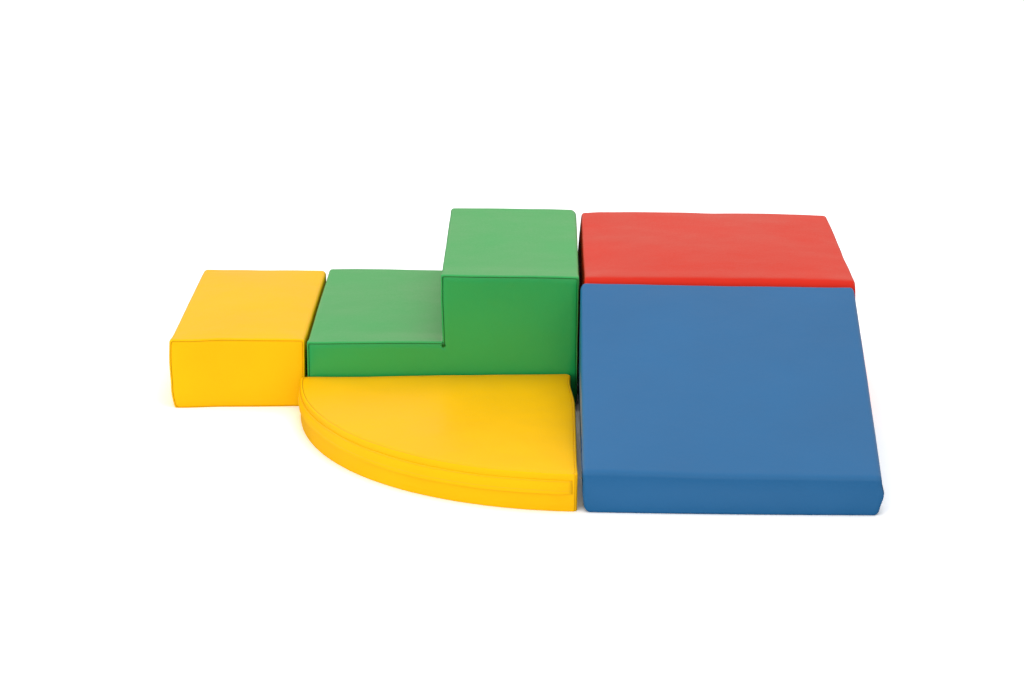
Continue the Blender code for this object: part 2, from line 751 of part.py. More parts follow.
HOOK_TAPE = make_material("hook_tape", (0.02, 0.02, 0.02), 0.7)
LOOP_TAPE = make_material("loop_tape", (0.03, 0.03, 0.03), 0.95)

STEPS_LEFT = -MODULE_GAP - STEPS_WIDTH
END_BLOCK_LEFT = STEPS_LEFT - MODULE_GAP - END_BLOCK_WIDTH
RAMP_FRONT = -MODULE_GAP - RAMP_DEPTH
STEPS_BACK = MODULE_GAP + STEPS_DEPTH
CENTRE_X = (END_BLOCK_LEFT + PLATFORM_WIDTH) / 2
CENTRE_Y = (RAMP_FRONT + STEPS_BACK) / 2

climber = make_module("climber", None, (-CENTRE_X, -CENTRE_Y, 0.0))
platform = make_module("platform", climber, (0.0, 0.0, 0.0))
ramp = make_module("ramp", climber, (RAMP_OFFSET, RAMP_FRONT, 0.0))
steps = make_module("steps", climber, (STEPS_LEFT, MODULE_GAP, 0.0))
end_block = make_module("end_block", climber, (END_BLOCK_LEFT, MODULE_GAP + END_BLOCK_OFFSET, 0.0))
mat = make_module("mat", climber, (RAMP_OFFSET - MAT_TO_RAMP_GAP, 0.0, 0.0))

build_platform(platform)
build_ramp(ramp)
build_steps(steps)
build_end_block(end_block)
build_mat(mat)
build_strips()
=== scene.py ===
import math
from collections import namedtuple

import bmesh
import bpy
import numpy as np
from mathutils import Matrix, Vector, kdtree, noise


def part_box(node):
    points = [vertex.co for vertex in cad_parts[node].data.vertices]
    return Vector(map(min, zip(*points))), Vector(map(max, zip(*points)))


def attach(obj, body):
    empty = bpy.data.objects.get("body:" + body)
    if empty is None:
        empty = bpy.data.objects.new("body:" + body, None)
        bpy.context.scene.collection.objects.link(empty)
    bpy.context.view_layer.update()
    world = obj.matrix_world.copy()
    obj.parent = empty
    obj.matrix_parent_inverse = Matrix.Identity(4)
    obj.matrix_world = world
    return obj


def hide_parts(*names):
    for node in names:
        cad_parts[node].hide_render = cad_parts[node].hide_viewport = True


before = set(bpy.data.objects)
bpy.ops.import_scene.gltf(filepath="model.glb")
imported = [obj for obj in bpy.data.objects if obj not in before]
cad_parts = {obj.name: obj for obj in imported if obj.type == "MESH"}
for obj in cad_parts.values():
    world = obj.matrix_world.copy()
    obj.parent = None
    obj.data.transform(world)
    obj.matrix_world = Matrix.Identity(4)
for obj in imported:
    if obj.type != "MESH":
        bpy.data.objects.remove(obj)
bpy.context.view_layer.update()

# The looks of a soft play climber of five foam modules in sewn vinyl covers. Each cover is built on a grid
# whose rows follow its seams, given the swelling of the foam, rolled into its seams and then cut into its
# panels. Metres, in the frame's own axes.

# Module sizes: widths along X, depths along Y, heights along Z
PLATFORM_WIDTH = 0.600
PLATFORM_DEPTH = 0.595
PLATFORM_HEIGHT = 0.308
RAMP_WIDTH = 0.600
RAMP_DEPTH = 0.600
RAMP_BACK_HEIGHT = 0.303
RAMP_FRONT_HEIGHT = 0.079
STEPS_WIDTH = 0.606
STEPS_DEPTH = 0.605
STEPS_HEIGHT = 0.308
LOW_TREAD_WIDTH = 0.304
LOW_TREAD_HEIGHT = 0.152
END_BLOCK_WIDTH = 0.298
END_BLOCK_DEPTH = 0.590
END_BLOCK_HEIGHT = 0.153
MAT_RADIUS = 0.611
MAT_HEIGHT = 0.080

# Places of the modules' front left floor corners, and of the mat's square corner
PLATFORM_PLACE = (0.1585, -0.0025, 0.0)
RAMP_PLACE = (0.1565, -0.6090, 0.0)
STEPS_PLACE = (-0.4540, 0.0040, 0.0)
END_BLOCK_PLACE = (-0.7585, 0.0080, 0.0)
MAT_PLACE = (0.1445, -0.0025, 0.0)

# Cover
SHEET = 0.0012
SEAM_HALF = 0.0005
PLATFORM_RIMS = (0.0060, 0.0080)
RAMP_RIMS = (0.0110, 0.0090)
FRONT_RIMS = (0.0038, 0.0045)
MAT_RIMS = (0.0045, 0.0045)
BASE_RADIUS = 0.0045
CREASE_RADIUS = 0.005
PLATFORM_BACK_FOLD = 0.0045
PLATFORM_CORNER_FOLD = 0.0120
PLATFORM_FRONT_FOLD = 0.0240
RAMP_BACK_FOLD = 0.0035
RAMP_FRONT_FOLD = 0.0130
STEPS_FOLD = 0.0080
END_BLOCK_FOLD = 0.0090
STEPS_CORNER_RADII = (0.0030, 0.0080, 0.0150)
END_BLOCK_CORNER_RADII = (0.0055, 0.0110)
CORNER_REACH = 0.050
MAT_CORNER_RADIUS = 0.012
MAT_TIP_RADIUS = 0.009
MAT_SEAM_FROM_TIP = 0.0040
LIP_REACH = 0.0026
LIP_DEPTH = 0.0026
MAT_LIP_DEPTH = 0.0018
PANEL_ROLL_REACH = 0.014
PANEL_ROLL_SHARE = 0.65
ALLOWANCE = 0.0022
SEAM_REACH = 0.030
BASE_CUT = (0.0140, 0.0150)
FOAM_INSET = 0.0045

# Softness
PLATFORM_CROWN = 0.0072
RAMP_CROWN = 0.005
STEPS_CROWN = 0.0055
END_BLOCK_CROWN = 0.0045
MAT_CROWN = 0.007
PLATFORM_SWELL = 0.0085
RAMP_SWELL = 0.0062
RAMP_LEFT_SWELL = 0.0030
END_BLOCK_SWELL = 0.0010
END_BLOCK_BELLY = 0.0022
END_BLOCK_SLANT = 0.0028
END_BLOCK_SLANT_LEVELS = (0.045, 0.105)
MAT_SIDE_SWELL = 0.002
PLATFORM_LEFT_SWELL = 0.0030
PLATFORM_LEFT_DRAW = 0.0075
PLATFORM_DRAW_FROM = 0.200
STEPS_RIGHT_SWELL = 0.0010
RISER_SWELL = 0.0042
FRONT_EDGE_LIFT = 0.0024
BACK_EDGE_LIFT = 0.0020
PLATFORM_FRONT_LIFT = 0.0030
PLATFORM_BACK_LIFT = 0.0026
PLATFORM_FRONT_SWELL = 0.0030
RAMP_BACK_LIFT = 0.0026
SWELL_EDGE_SHARE = 0.55
SWELL_TOP_SHARE = 0.78
RAMP_CORNER_LIFT = 0.0064
RAMP_LIFT_REACH = (0.28, 0.28)
FOOT_SPREAD = 0.0100
RAMP_FOOT_LEVEL = 0.075
END_BLOCK_FOOT_LEVEL = 0.110
RAMP_ZIP_BULGE = 0.0070
RAMP_BULGE_LEVEL = 0.040
RAMP_BULGE_REACH = (0.019, 0.048)
END_BLOCK_LOOSE = 0.0038
END_BLOCK_SKEW = 0.0090
END_BLOCK_FRONT_LIFT = 0.0025
END_BLOCK_LIFT_FROM = 0.12
MAT_BACK_LIFTS = (0.0115, -0.0032)
MAT_CORNER_DRAW = 0.0095
MAT_DRAW_FROM = 0.045
MAT_DRAW_REACH = 0.085
MAT_TIP_PUSH = 0.0022
MAT_ARC_SWELL = 0.0045
SIDE_TUCK = 0.0050
TUCK_LEVEL = 0.040
SINK = 0.0032
SINK_LEVEL = 0.030
SEAM_SLIP = 0.0008
SLIP_REACH = (0.030, 0.012)
STRIP_BAND = (0.210, 0.250)
STRIP_HALF_LENGTH = 0.155
STRIP_CLEAR = 0.040
WOBBLE = np.array((0.0004, 0.0004, 0.0014))
RIPPLE = np.array((0.00025, 0.00025, 0.0007))
HELD_LEVEL = 0.004
CLOTH_QUALITY = 6
CLOTH_MASS = 0.3
CLOTH_TENSION = 40.0
CLOTH_BENDING = 2.0
CLOTH_PRESSURE = 4.0
CLOTH_FRAMES = 20
SWELLING_CAP = 0.0030
SIDEWAYS_SHARE = 0.30
SWELLING_NEAR = 6
SWELLING_BLUR = 0.004
COLUMN_HALF_GAP = 0.00015
ON_SEAM = 0.0002
HAIR = 0.000001

# Shares, powers and reaches that shape the softness. The platform's front shares are how much more its right
# side swells at the front, and the share of the depth that this fades over. The tread lift shares are the low
# tread's at its left end, what it gains over its width, and the high tread's.
TUCK_POWER = 1.6
SLIP_EDGE_SHARE = 0.25
EDGE_LIFT_REACH = 0.09
BACK_LIFT_REACH = 0.15
FOOT_EDGE_SHARE = 0.7
FOOT_LEFT_SHARE = 0.3
FOOT_FADE = 3.0
PLATFORM_FRONT_SHARES = (0.6, 0.4)
PLATFORM_DRAW_POWER = 1.4
PLATFORM_DRAW_SHARE = 0.25
PLATFORM_CROWN_SHARES = (0.08, 0.42)
RAMP_TUCK_SHARE = 0.6
RAMP_CROWN_SHARES = (0.0, 0.1)
RAMP_BULGE_POWER = 4
RISER_REACH = (0.15, 0.10)
STEPS_CROWN_SHARES = (0.75, 0.55)
TREAD_LIFT_SHARES = (0.9, 1.6, 1.7)
END_BLOCK_TUCK_SHARE = 1.5
END_BLOCK_SPREAD_SHARE = 1.4
END_BLOCK_CROWN_SHARES = (0.0, 0.15)
MAT_BACK_POWER = 3
MAT_ARC_POWER = 3
MAT_ARC_TOP_SHARE = 0.5
MAT_TIP_POWER = 6
WOBBLE_FREE_LEVEL = 0.03
WOBBLE_SCALE = 5.0
RIPPLE_SCALE = 15.0
NOISE_STEPS = (3.1, 7.7, 1.9)

# Zips
ZIP_LEVEL = 0.051
MAT_ZIP_LEVEL = 0.048
ZIP_SLIT_HEIGHT = 0.014
ZIP_LOW = ZIP_LEVEL - ZIP_SLIT_HEIGHT / 2
ZIP_HIGH = ZIP_LEVEL + ZIP_SLIT_HEIGHT / 2
MAT_ZIP_LOW = MAT_ZIP_LEVEL - ZIP_SLIT_HEIGHT / 2
MAT_ZIP_HIGH = MAT_ZIP_LEVEL + ZIP_SLIT_HEIGHT / 2
ZIP_END_MARGIN = 0.040
ZIP_MARGIN_FIT = 0.001
TAPE_HALF_HEIGHT = 0.011
TAPE_DEPTH = 0.0024
TAPE_THICKNESS = 0.0006
TOOTH_PITCH = 0.0015
TOOTH_RADIUS = 0.00075
TOOTH_REACH = 0.0026
TOOTH_REACH_SHARES = np.array((1.0, 0.82, 0.25, -0.05, -0.16))
TOOTH_RADIUS_SHARES = np.array((0.75, 1.0, 0.9, 1.05, 0.6))
FLAP_END_MARGIN = 0.011
FLAP_ABOVE = 0.012
FLAP_BELOW = 0.004
FLAP_STAND_OFF = 0.0041
FLAP_HALF_THICKNESS = 0.0006
HEM_HALF_THICKNESS = 0.0009
HEM_HEIGHT = 0.008
HEM_SHARES = (0.93, 0.4)
HEM_TURNS = 6
FLAP_HEIGHT = FLAP_ABOVE + ZIP_SLIT_HEIGHT + FLAP_BELOW
FLAP_EDGE_STAND_OFF = 0.0008
FLAP_EDGE_HALF_THICKNESS = 0.0004
FLAP_BENDS = ((0.0010, 0.72), (0.0015, 0.45), (0.0027, 0.18))
FLAP_CLEAR_SHARE = 0.6
FLAP_WAVE = 0.0006
FLAP_WAVE_SCALES = (17.0, 8.0)
FLAP_SEWN_REACH = 0.026
FLAP_SEWN_SHARE = 0.30
FLAP_STITCH_LEVELS = ((0.10, 0.0016), (0.74, FLAP_STAND_OFF + FLAP_HALF_THICKNESS))
SLIT_REACH = 0.004
SLIT_FIT = 0.0006

# Zip slider: half outline of its plates; plates as low, high and share of the outline; post, lug and pull as
# along, low, high, length and width
SLIDER_OUTLINE = (
    (0.0, 0.0030), (0.0012, 0.0042), (0.0050, 0.0045), (0.0090, 0.0042), (0.0120, 0.0028), (0.0130, 0.0012),
)
SLIDER_PLATES = ((0.0006, 0.0011, 1.0), (0.0014, 0.0020, 0.96))
SLIDER_SLABS = (
    (0.0035, 0.0008, 0.0016, 0.0035, 0.0014),
    (0.0060, 0.0019, 0.0026, 0.0060, 0.0022),
    (0.0160, 0.0013, 0.0021, 0.0180, 0.0052),
)
PLATE_EDGES = (0.00015, 0.0002)
PLATE_EDGE_SHARES = (0.93, 0.90)
SLAB_EDGE = 0.0002
SLAB_CORNER_SHARE = 0.4
SLAB_CORNER_STEPS = 5

# Hook-and-loop strips: heights as shares of the thickness, with the insets of the rings there
STRIP_CORNER_RADIUS = 0.006
STRIP_STITCH_INSET = 0.0036
STRIP_STITCH_HEIGHT_SHARE = 0.84
STRIP_SECTION = (
    (0.0, 0.0004), (0.10, 0.0), (0.72, 0.0), (0.92, 0.0004), (1.0, 0.0012), (1.0, 0.0029), (0.80, 0.0036),
    (1.0, 0.0043),
)

# Thread
STITCH_PITCH = 0.0037
THREAD_RADIUS = 0.00024
STITCH_HALF_LENGTH = 0.0008
STITCH_SIDES = 5
LOCK_LIFT_SHARES = (-0.2, 1.0, 1.2, 1.0, -0.2)
LOCK_REACH_SHARES = (-1.0, -0.6, 0.0, 0.6, 1.0)
LOCK_RADIUS_SHARES = (0.7, 1.0, 1.05, 1.0, 0.7)
RUNNING_LIFT_SHARES = (-0.9, 0.4, 0.7, 0.4, -0.9)
RUNNING_REACH_SHARES = (-0.40, -0.30, 0.0, 0.30, 0.40)
RUNNING_RADIUS_SHARE = 1.3

# Colours, in linear light
RED = (0.645, 0.016, 0.003)
BLUE = (0.008, 0.127, 0.320)
GREEN = (0.003, 0.362, 0.076)
YELLOW = (0.98, 0.520, 0.001)

# Painted shade in the seam grooves of the vinyl, and its puckers: distances from the seam where they are full
# and where they end
GROOVE_SHADE_BAND = (0.0004, 0.0020)
PUCKER_BAND = (0.001, 0.024)

# Floor, light and camera; lamps as name, place, size, power
AMBIENT = 0.85
MIRRORED = (0.90, 0.77, 0.64)
FLOOR_REACH = 40.0
FLOOR_COLOUR = (0.80, 0.79, 0.78)
FLOOR_MIRRORED = (0.10, 0.12, 0.16)
FLOOR_TO_CAMERA = 1.28
LAMPS = (
    ("key", (0.4, 0.5, 3.4), 2.6, 40.0),
    ("fill", (-2.2, -3.4, 1.0), 2.0, 53.0),
)
LAMP_AIM = (0.0, 0.0, 0.1)
FOCAL_PIXELS = 2509.9
PICTURE_WIDTH_PIXELS = 1024
SENSOR_WIDTH = 36.0
CAMERA_FAR = 200.0
CAMERA_PLACE = (0.06781, -5.33714, 1.85510)
CAMERA_PITCH = 0.3068
CAMERA_YAW = 0.01177
CAMERA_ROLL = 0.00789

# Grids of the covers: even cells, finer lines towards folds and creases, and rows over the seam rolls given
# by their distance from the seam
Fineness = namedtuple("Fineness", "cell edge crease panel_rows rim_rows mat_rim_rows")
FINE = Fineness(
    cell=0.0095,
    edge=(0.0, 0.0014, 0.003, 0.006, 0.009, 0.012, 0.017, 0.024),
    crease=(0.0, 0.0025, 0.005, 0.008, 0.013, 0.020),
    panel_rows=(-0.0150, -0.0115, -0.0085, -0.0060, -0.0042, -0.0029, -0.0019, -0.0011, -0.0005, -0.00015),
    rim_rows=(
        0.00015, 0.0005, 0.0011, 0.0019, 0.0029, 0.0045, 0.0065, 0.0090, 0.0115, 0.015, 0.019, 0.024, 0.031,
    ),
    mat_rim_rows=(0.00015, 0.0005, 0.0011, 0.0019, 0.0029, 0.0045, 0.0060, 0.0075, 0.011),
)
COARSE = Fineness(
    cell=0.018,
    edge=(0.0, 0.006, 0.014),
    crease=(0.0, 0.006, 0.014),
    panel_rows=(-0.0115, -0.0029),
    rim_rows=(0.0029, 0.0065, 0.0115, 0.031),
    mat_rim_rows=(0.0029, 0.0060, 0.011),
)
TRIAL = COARSE._replace(cell=0.014)
SMOOTHING_ROUNDS = 240
CELL_SLACK_SHARE = 0.01
STRAIGHT_HALF_ANGLE = 1.5

Row = namedtuple("Row", "inset depth distance panel")
WRAP, LOW_PANEL, HIGH_PANEL, BASE, STRAIGHT_SIDE = range(5)


# Grid lines
def spaced(marks, cell):
    """Coordinates that hold every mark, with even cells of at most the given size between them."""
    marks = sorted(set(marks))
    places = [marks[0]]
    for low, high in zip(marks, marks[1:]):
        count = max(1, math.ceil((high - low) / cell - CELL_SLACK_SHARE))
        places += [low + (high - low) * step / count for step in range(1, count + 1)]
    return np.array(places)


def edged(low, high, low_offsets, high_offsets):
    """Marks of a side: finer towards both of its ends."""
    return [low + offset for offset in low_offsets] + [high - offset for offset in high_offsets]


def row_place(distance, radius):
    """Inset from the outline, and depth from the end face, of a row this far over the rim from its seam."""
    run = distance - SEAM_HALF
    if run <= 0.0:
        return radius - run, 0.0
    turn = run / radius
    if turn < math.pi / 2:
        return radius * (1.0 - math.sin(turn)), radius * (1.0 - math.cos(turn))
    return 0.0, radius + run - radius * math.pi / 2


def row_distance(depth, radius):
    """Distance from the seam of a row at this depth beyond the rim."""
    return depth - radius + radius * math.pi / 2 + SEAM_HALF


def unit(vector):
    return vector / np.linalg.norm(vector)


def units(vectors):
    return vectors / np.maximum(np.linalg.norm(vectors, axis=-1, keepdims=True), 1e-12)


def nearest(lines, value):
    return int(np.argmin(np.abs(lines - value)))


# Outlines
def tangents(side):
    return units(np.gradient(side, axis=0))


def corner_ways(sides, index):
    """Ways along both sides of a corner, half the angle between them, and 1 for a corner that stands out."""
    corner = sides[index][0]
    ahead = unit(sides[index][1] - corner)
    back = unit(sides[index - 1][-2] - corner)
    half = math.acos(np.clip(ahead @ back, -1.0, 1.0)) / 2
    outward = 1.0 if ahead[0] * back[1] - ahead[1] * back[0] > 0.0 else -1.0
    return ahead, back, half, outward


def inset_sides(sides, inset):
    """Sides of a closed anticlockwise loop drawn in by one distance, corners kept sharp."""
    slips = []
    for index in range(len(sides)):
        _, _, half, outward = corner_ways(sides, index)
        slips.append(outward * inset / math.tan(half) if half < STRAIGHT_HALF_ANGLE else 0.0)
    drawn = []
    for index, side in enumerate(sides):
        way = tangents(side)
        inward = np.stack([-way[:, 1], way[:, 0]], axis=1)
        share = runs_along(side)[:, None]
        share = share / share[-1]
        slip = slips[index] * (1.0 - share) - slips[(index + 1) % len(sides)] * share
        drawn.append(side + inward * inset + way * slip)
    return drawn


def runs_along(points):
    return np.concatenate([[0.0], np.cumsum(np.linalg.norm(np.diff(points, axis=0), axis=1))])


def rounded_loop(sides, radii):
    """Points of a closed anticlockwise loop of sides, each side's first corner rounded."""
    shaped = [side.copy() for side in sides]
    for index, radius in enumerate(radii):
        if not radius:
            continue
        corner = sides[index][0]
        ahead, back, half, _ = corner_ways(sides, index)
        reach = radius / math.tan(half)
        centre = corner + unit(ahead + back) * radius / math.sin(half)
        middle = unit(corner - centre)
        swing = math.pi / 2 - half
        for way, which, backwards in ((ahead, index, False), (back, index - 1, True)):
            tangent = unit(corner + way * reach - centre)
            runs = runs_along(sides[which])
            if backwards:
                runs = runs[-1] - runs
            for step in np.nonzero(runs < reach)[0]:
                share = runs[step] / reach
                arm = math.sin((1.0 - share) * swing) * middle + math.sin(share * swing) * tangent
                shaped[which][step] = centre + radius * arm / math.sin(swing)
    return np.concatenate([side[:-1] for side in shaped])


def walk(corners):
    """Grid nodes of each side of a loop through these corner nodes, both ends included."""
    sides = []
    for start, end in zip(corners, corners[1:] + corners[:1]):
        count = max(abs(end[0] - start[0]), abs(end[1] - start[1]))
        step = ((end[0] - start[0]) // count, (end[1] - start[1]) // count)
        sides.append([(start[0] + step[0] * k, start[1] + step[1] * k) for k in range(count + 1)])
    return sides


def faded(share):
    """From 1 at a share of 0 smoothly down to 0 at a share of 1."""
    share = np.clip(share, 0.0, 1.0)
    return 1.0 - share * share * (3.0 - 2.0 * share)


def corner_radii(radii, depth, other_depth):
    """Radii of the corners at one depth: those of the two end seams, and those of the body between them."""
    low, body, high = radii
    low_share = faded(depth / CORNER_REACH)
    high_share = faded(other_depth / CORNER_REACH)
    return [
        middle + (first - middle) * low_share + (last - middle) * high_share
        for first, middle, last in zip(low, body, high)
    ]


def ring_faces(low, count):
    """Faces between a ring of points that starts at one place in a list and the ring that follows it."""
    return [
        (low + step, low + (step + 1) % count, low + count + (step + 1) % count, low + count + step)
        for step in range(count)
    ]


class Block:
    """Closed grid of one module's cover: rings of rows over its seams, and an even grid on each end face."""

    def __init__(self, axis, length, lines, shape, corners, radii, rows, pinned=(), hole=None):
        self.axis = axis
        self.rows = rows
        self.verts = []
        self.faces = []
        self.tags = []
        across, up = lines
        nodes = np.array([[shape(u, v) for v in up] for u in across])
        sides = walk(corners)
        outlines = [nodes[tuple(zip(*side))] for side in sides]
        self.loop = [node for side in sides for node in side[:-1]]
        self.count = len(self.loop)
        self.runs = runs_along(np.concatenate([side[:-1] for side in outlines]))
        rings = []
        for inset, depth, _, _ in rows:
            ring = rounded_loop(inset_sides(outlines, inset), corner_radii(radii, depth, length - depth))
            rings.append(ring)
            self.verts += [self.place(point, depth) for point in ring]
        self.distance = [row.distance for row in rows for _ in range(self.count)]
        for row in range(len(rows) - 1):
            if rows[row].panel == rows[row + 1].panel:
                self.faces += ring_faces(row * self.count, self.count)
                self.tags += [rows[row].panel] * self.count
        self.add_end(nodes, rings[0], 0, LOW_PANEL, 0.0, pinned, hole)
        self.add_end(nodes, rings[-1], len(rows) - 1, HIGH_PANEL, length, pinned, hole)
        self.verts = np.array(self.verts)
        self.distance = np.array(self.distance)
        self.closed = list(self.faces)
        for row in range(len(rows) - 1):
            if rows[row].panel != rows[row + 1].panel:
                self.closed += ring_faces(row * self.count, self.count)

    def place(self, point, depth):
        if self.axis == "x":
            return (depth, point[0], point[1])
        if self.axis == "y":
            return (point[0], depth, point[1])
        return (point[0], point[1], depth)

    def add_end(self, nodes, ring, row, panel, depth, pinned, hole):
        """Even grid inside the last ring of an end face; pinned lines keep their level."""
        grid = nodes.copy()
        wide, high = grid.shape[:2]
        free = np.ones((wide, high), bool)
        if hole:
            free[:hole[0], hole[1] + 1:] = False
        there = free.copy()
        for node, point in zip(self.loop, ring):
            grid[node] = point
            free[node] = False
        for _ in range(SMOOTHING_ROUNDS):
            average = np.zeros_like(grid)
            average[1:-1, 1:-1] = (grid[:-2, 1:-1] + grid[2:, 1:-1] + grid[1:-1, :-2] + grid[1:-1, 2:]) / 4.0
            grid[free] = average[free]
            for line in pinned:
                held = free[:, line]
                grid[held, line, 1] = nodes[held, line, 1]
        index = {node: row * self.count + step for step, node in enumerate(self.loop)}
        far = max(self.distance)
        for node in zip(*np.nonzero(there)):
            if node not in index:
                index[node] = len(self.verts)
                self.verts.append(self.place(grid[node], depth))
                self.distance.append(far)
        for i in range(wide - 1):
            for j in range(high - 1):
                if not (hole and i < hole[0] and j >= hole[1]):
                    self.faces.append((index[i, j], index[i + 1, j], index[i + 1, j + 1], index[i, j + 1]))
                    self.tags.append(panel)

    def retag(self, chosen):
        """Give each face the tag that chosen(face, tag) says; None opens the cover there."""
        pairs = [(face, chosen(face, tag)) for face, tag in zip(self.faces, self.tags)]
        self.faces = [face for face, tag in pairs if tag is not None]
        self.tags = [tag for _, tag in pairs if tag is not None]

    def centre(self, face):
        return self.verts[list(face)].mean(axis=0)


def end_rows(radius, grid, rim_rows, depths, panel):
    """Rows of one end from its panel over the rim: inset, depth, distance from the seam, panel."""
    distances = sorted([*rim_rows, *(row_distance(depth, radius) for depth in depths)])
    rows = [Row(*row_place(distance, radius), distance, panel) for distance in grid.panel_rows]
    return rows + [Row(*row_place(distance, radius), distance, WRAP) for distance in distances]


def make_rows(length, radii, grid, rim_rows, depths=(), marks=()):
    """Rows from one end face over both rims to the other."""
    low = end_rows(radii[0], grid, rim_rows, depths, LOW_PANEL)
    high = [
        Row(inset, length - depth, distance, panel)
        for inset, depth, distance, panel in reversed(end_rows(radii[1], grid, rim_rows, depths, HIGH_PANEL))
    ]
    middle = spaced([low[-1].depth, high[0].depth, *marks], grid.cell)[1:-1]
    rest = [Row(0.0, depth, row_distance(min(depth, length - depth), max(radii)), WRAP) for depth in middle]
    return low + rest + high


# Softness of the covers, as moves of points in a module's own place
def hump(share):
    """0 at both ends of a length and 1 in its middle."""
    share = np.clip(share, 0.0, 1.0)
    return 4.0 * share * (1.0 - share)


def edged_hump(share, edge):
    """The same with this much of it left at both ends."""
    return edge + (1.0 - edge) * hump(share)


def side_hump(level, top):
    """Swelling of a side above its zip, greatest at two thirds of its height."""
    zip_top = ZIP_LEVEL + ZIP_SLIT_HEIGHT / 2
    share = np.clip((level - zip_top) / (top - zip_top), 0.0, 1.0)
    return hump(share * SWELL_TOP_SHARE)


def clear_of_strip(along, length, level):
    """0 where a strip is sewn to a side, and 1 well away from it."""
    beside = (np.abs(along - length / 2) - STRIP_HALF_LENGTH) / STRIP_CLEAR
    above = (level - STRIP_BAND[1]) / STRIP_CLEAR
    below = (STRIP_BAND[0] - level) / STRIP_CLEAR
    return 1.0 - faded(np.maximum(np.maximum(above, below), beside))


def swell_sides(points, width, depth, top, swells, tucks):
    """Sides swollen above the zips and drawn in towards the floor: left, right, front, back."""
    across = points[:, 0] / width
    deep = points[:, 1] / depth
    rise = side_hump(points[:, 2], top)
    low = np.clip(1.0 - points[:, 2] / TUCK_LEVEL, 0.0, 1.0) ** TUCK_POWER
    along_x = edged_hump(across, SWELL_EDGE_SHARE)
    along_y = edged_hump(deep, SWELL_EDGE_SHARE)
    outs = [swell * rise * way - tuck * low for swell, tuck, way in zip(
        swells, tucks, (along_y, along_y, along_x, along_x)
    )]
    return np.stack([
        outs[1] * across - outs[0] * (1.0 - across),
        outs[3] * deep - outs[2] * (1.0 - deep),
        np.zeros(len(points)),
    ], axis=1)


def sunk(points):
    """Drop of the lowest part of a cover, which its weight presses flat."""
    return -SINK * faded(points[:, 2] / SINK_LEVEL) * np.clip(points[:, 2] / SINK, 0.0, 1.0)


def slipped(points, width):
    """Front panel drawn out to the right edge, so that its seam lies on the corner."""
    from_right = (width - points[:, 0]) / SLIP_REACH[0]
    from_front = points[:, 1] / SLIP_REACH[1]
    return SEAM_SLIP * faded(from_right) * faded(from_front) * np.clip(from_right / SLIP_EDGE_SHARE, 0.0, 1.0)


def crowned(points, shares, edges, height, crown):
    """Rise of a top between its edges."""
    across, deep = shares
    level = np.minimum(points[:, 2] / height, 1.0)
    return crown * edged_hump(across, edges[0]) * edged_hump(deep, edges[1]) * level


def platform_softness(points):
    x, y, z = points.T
    shares = (x / PLATFORM_WIDTH, y / PLATFORM_DEPTH)
    more, front_share = PLATFORM_FRONT_SHARES
    left = PLATFORM_LEFT_SWELL * clear_of_strip(y, PLATFORM_DEPTH, z)
    front = PLATFORM_FRONT_SWELL * clear_of_strip(x, PLATFORM_WIDTH, z)
    right = PLATFORM_SWELL * (1.0 + more * faded(shares[1] / front_share))
    moved = swell_sides(
        points, PLATFORM_WIDTH, PLATFORM_DEPTH, PLATFORM_HEIGHT, (left, right, front, 0.0),
        (SIDE_TUCK, SIDE_TUCK, 0.0, SIDE_TUCK),
    )
    high = np.clip((z - PLATFORM_DRAW_FROM) / (PLATFORM_HEIGHT - PLATFORM_DRAW_FROM), 0.0, 1.0)
    moved[:, 0] += PLATFORM_LEFT_DRAW * high ** PLATFORM_DRAW_POWER * faded(shares[0] / PLATFORM_DRAW_SHARE)
    moved[:, 2] += crowned(points, shares, PLATFORM_CROWN_SHARES, PLATFORM_HEIGHT, PLATFORM_CROWN)
    edges = PLATFORM_FRONT_LIFT * faded(y / EDGE_LIFT_REACH)
    edges += PLATFORM_BACK_LIFT * (1.0 - shares[0] ** 2) * faded((PLATFORM_DEPTH - y) / BACK_LIFT_REACH)
    moved[:, 2] += edges * z / PLATFORM_HEIGHT
    return moved


def ramp_height(y):
    return RAMP_FRONT_HEIGHT + (RAMP_BACK_HEIGHT - RAMP_FRONT_HEIGHT) * y / RAMP_DEPTH


def ramp_softness(points):
    x, y, z = points.T
    top = ramp_height(y)
    shares = (x / RAMP_WIDTH, y / RAMP_DEPTH)
    moved = swell_sides(
        points, RAMP_WIDTH, RAMP_DEPTH, top,
        (RAMP_LEFT_SWELL * top / RAMP_BACK_HEIGHT, RAMP_SWELL * top / RAMP_BACK_HEIGHT, 0.0, 0.0),
        (SIDE_TUCK, SIDE_TUCK * RAMP_TUCK_SHARE, 0.0, SIDE_TUCK),
    )
    corner = RAMP_CORNER_LIFT * faded(x / RAMP_LIFT_REACH[0]) * faded(y / RAMP_LIFT_REACH[1])
    corner += RAMP_BACK_LIFT * (1.0 - shares[0]) * faded((RAMP_DEPTH - y) / BACK_LIFT_REACH)
    crown = crowned(points, shares, RAMP_CROWN_SHARES, top, RAMP_CROWN)
    moved[:, 2] += crown + corner * np.minimum(z / top, 1.0)
    spread = FOOT_SPREAD * edged_hump(shares[0], FOOT_EDGE_SHARE)
    spread = spread * (1.0 + FOOT_LEFT_SHARE * (1.0 - shares[0]))
    moved[:, 1] -= spread * faded(z / RAMP_FOOT_LEVEL) * faded(shares[1] * FOOT_FADE)
    near_zip = np.exp(-((z - RAMP_BULGE_LEVEL) / RAMP_BULGE_REACH[0]) ** 2)
    moved[:, 0] += RAMP_ZIP_BULGE * near_zip * faded(y / RAMP_BULGE_REACH[1]) * shares[0] ** RAMP_BULGE_POWER
    return moved


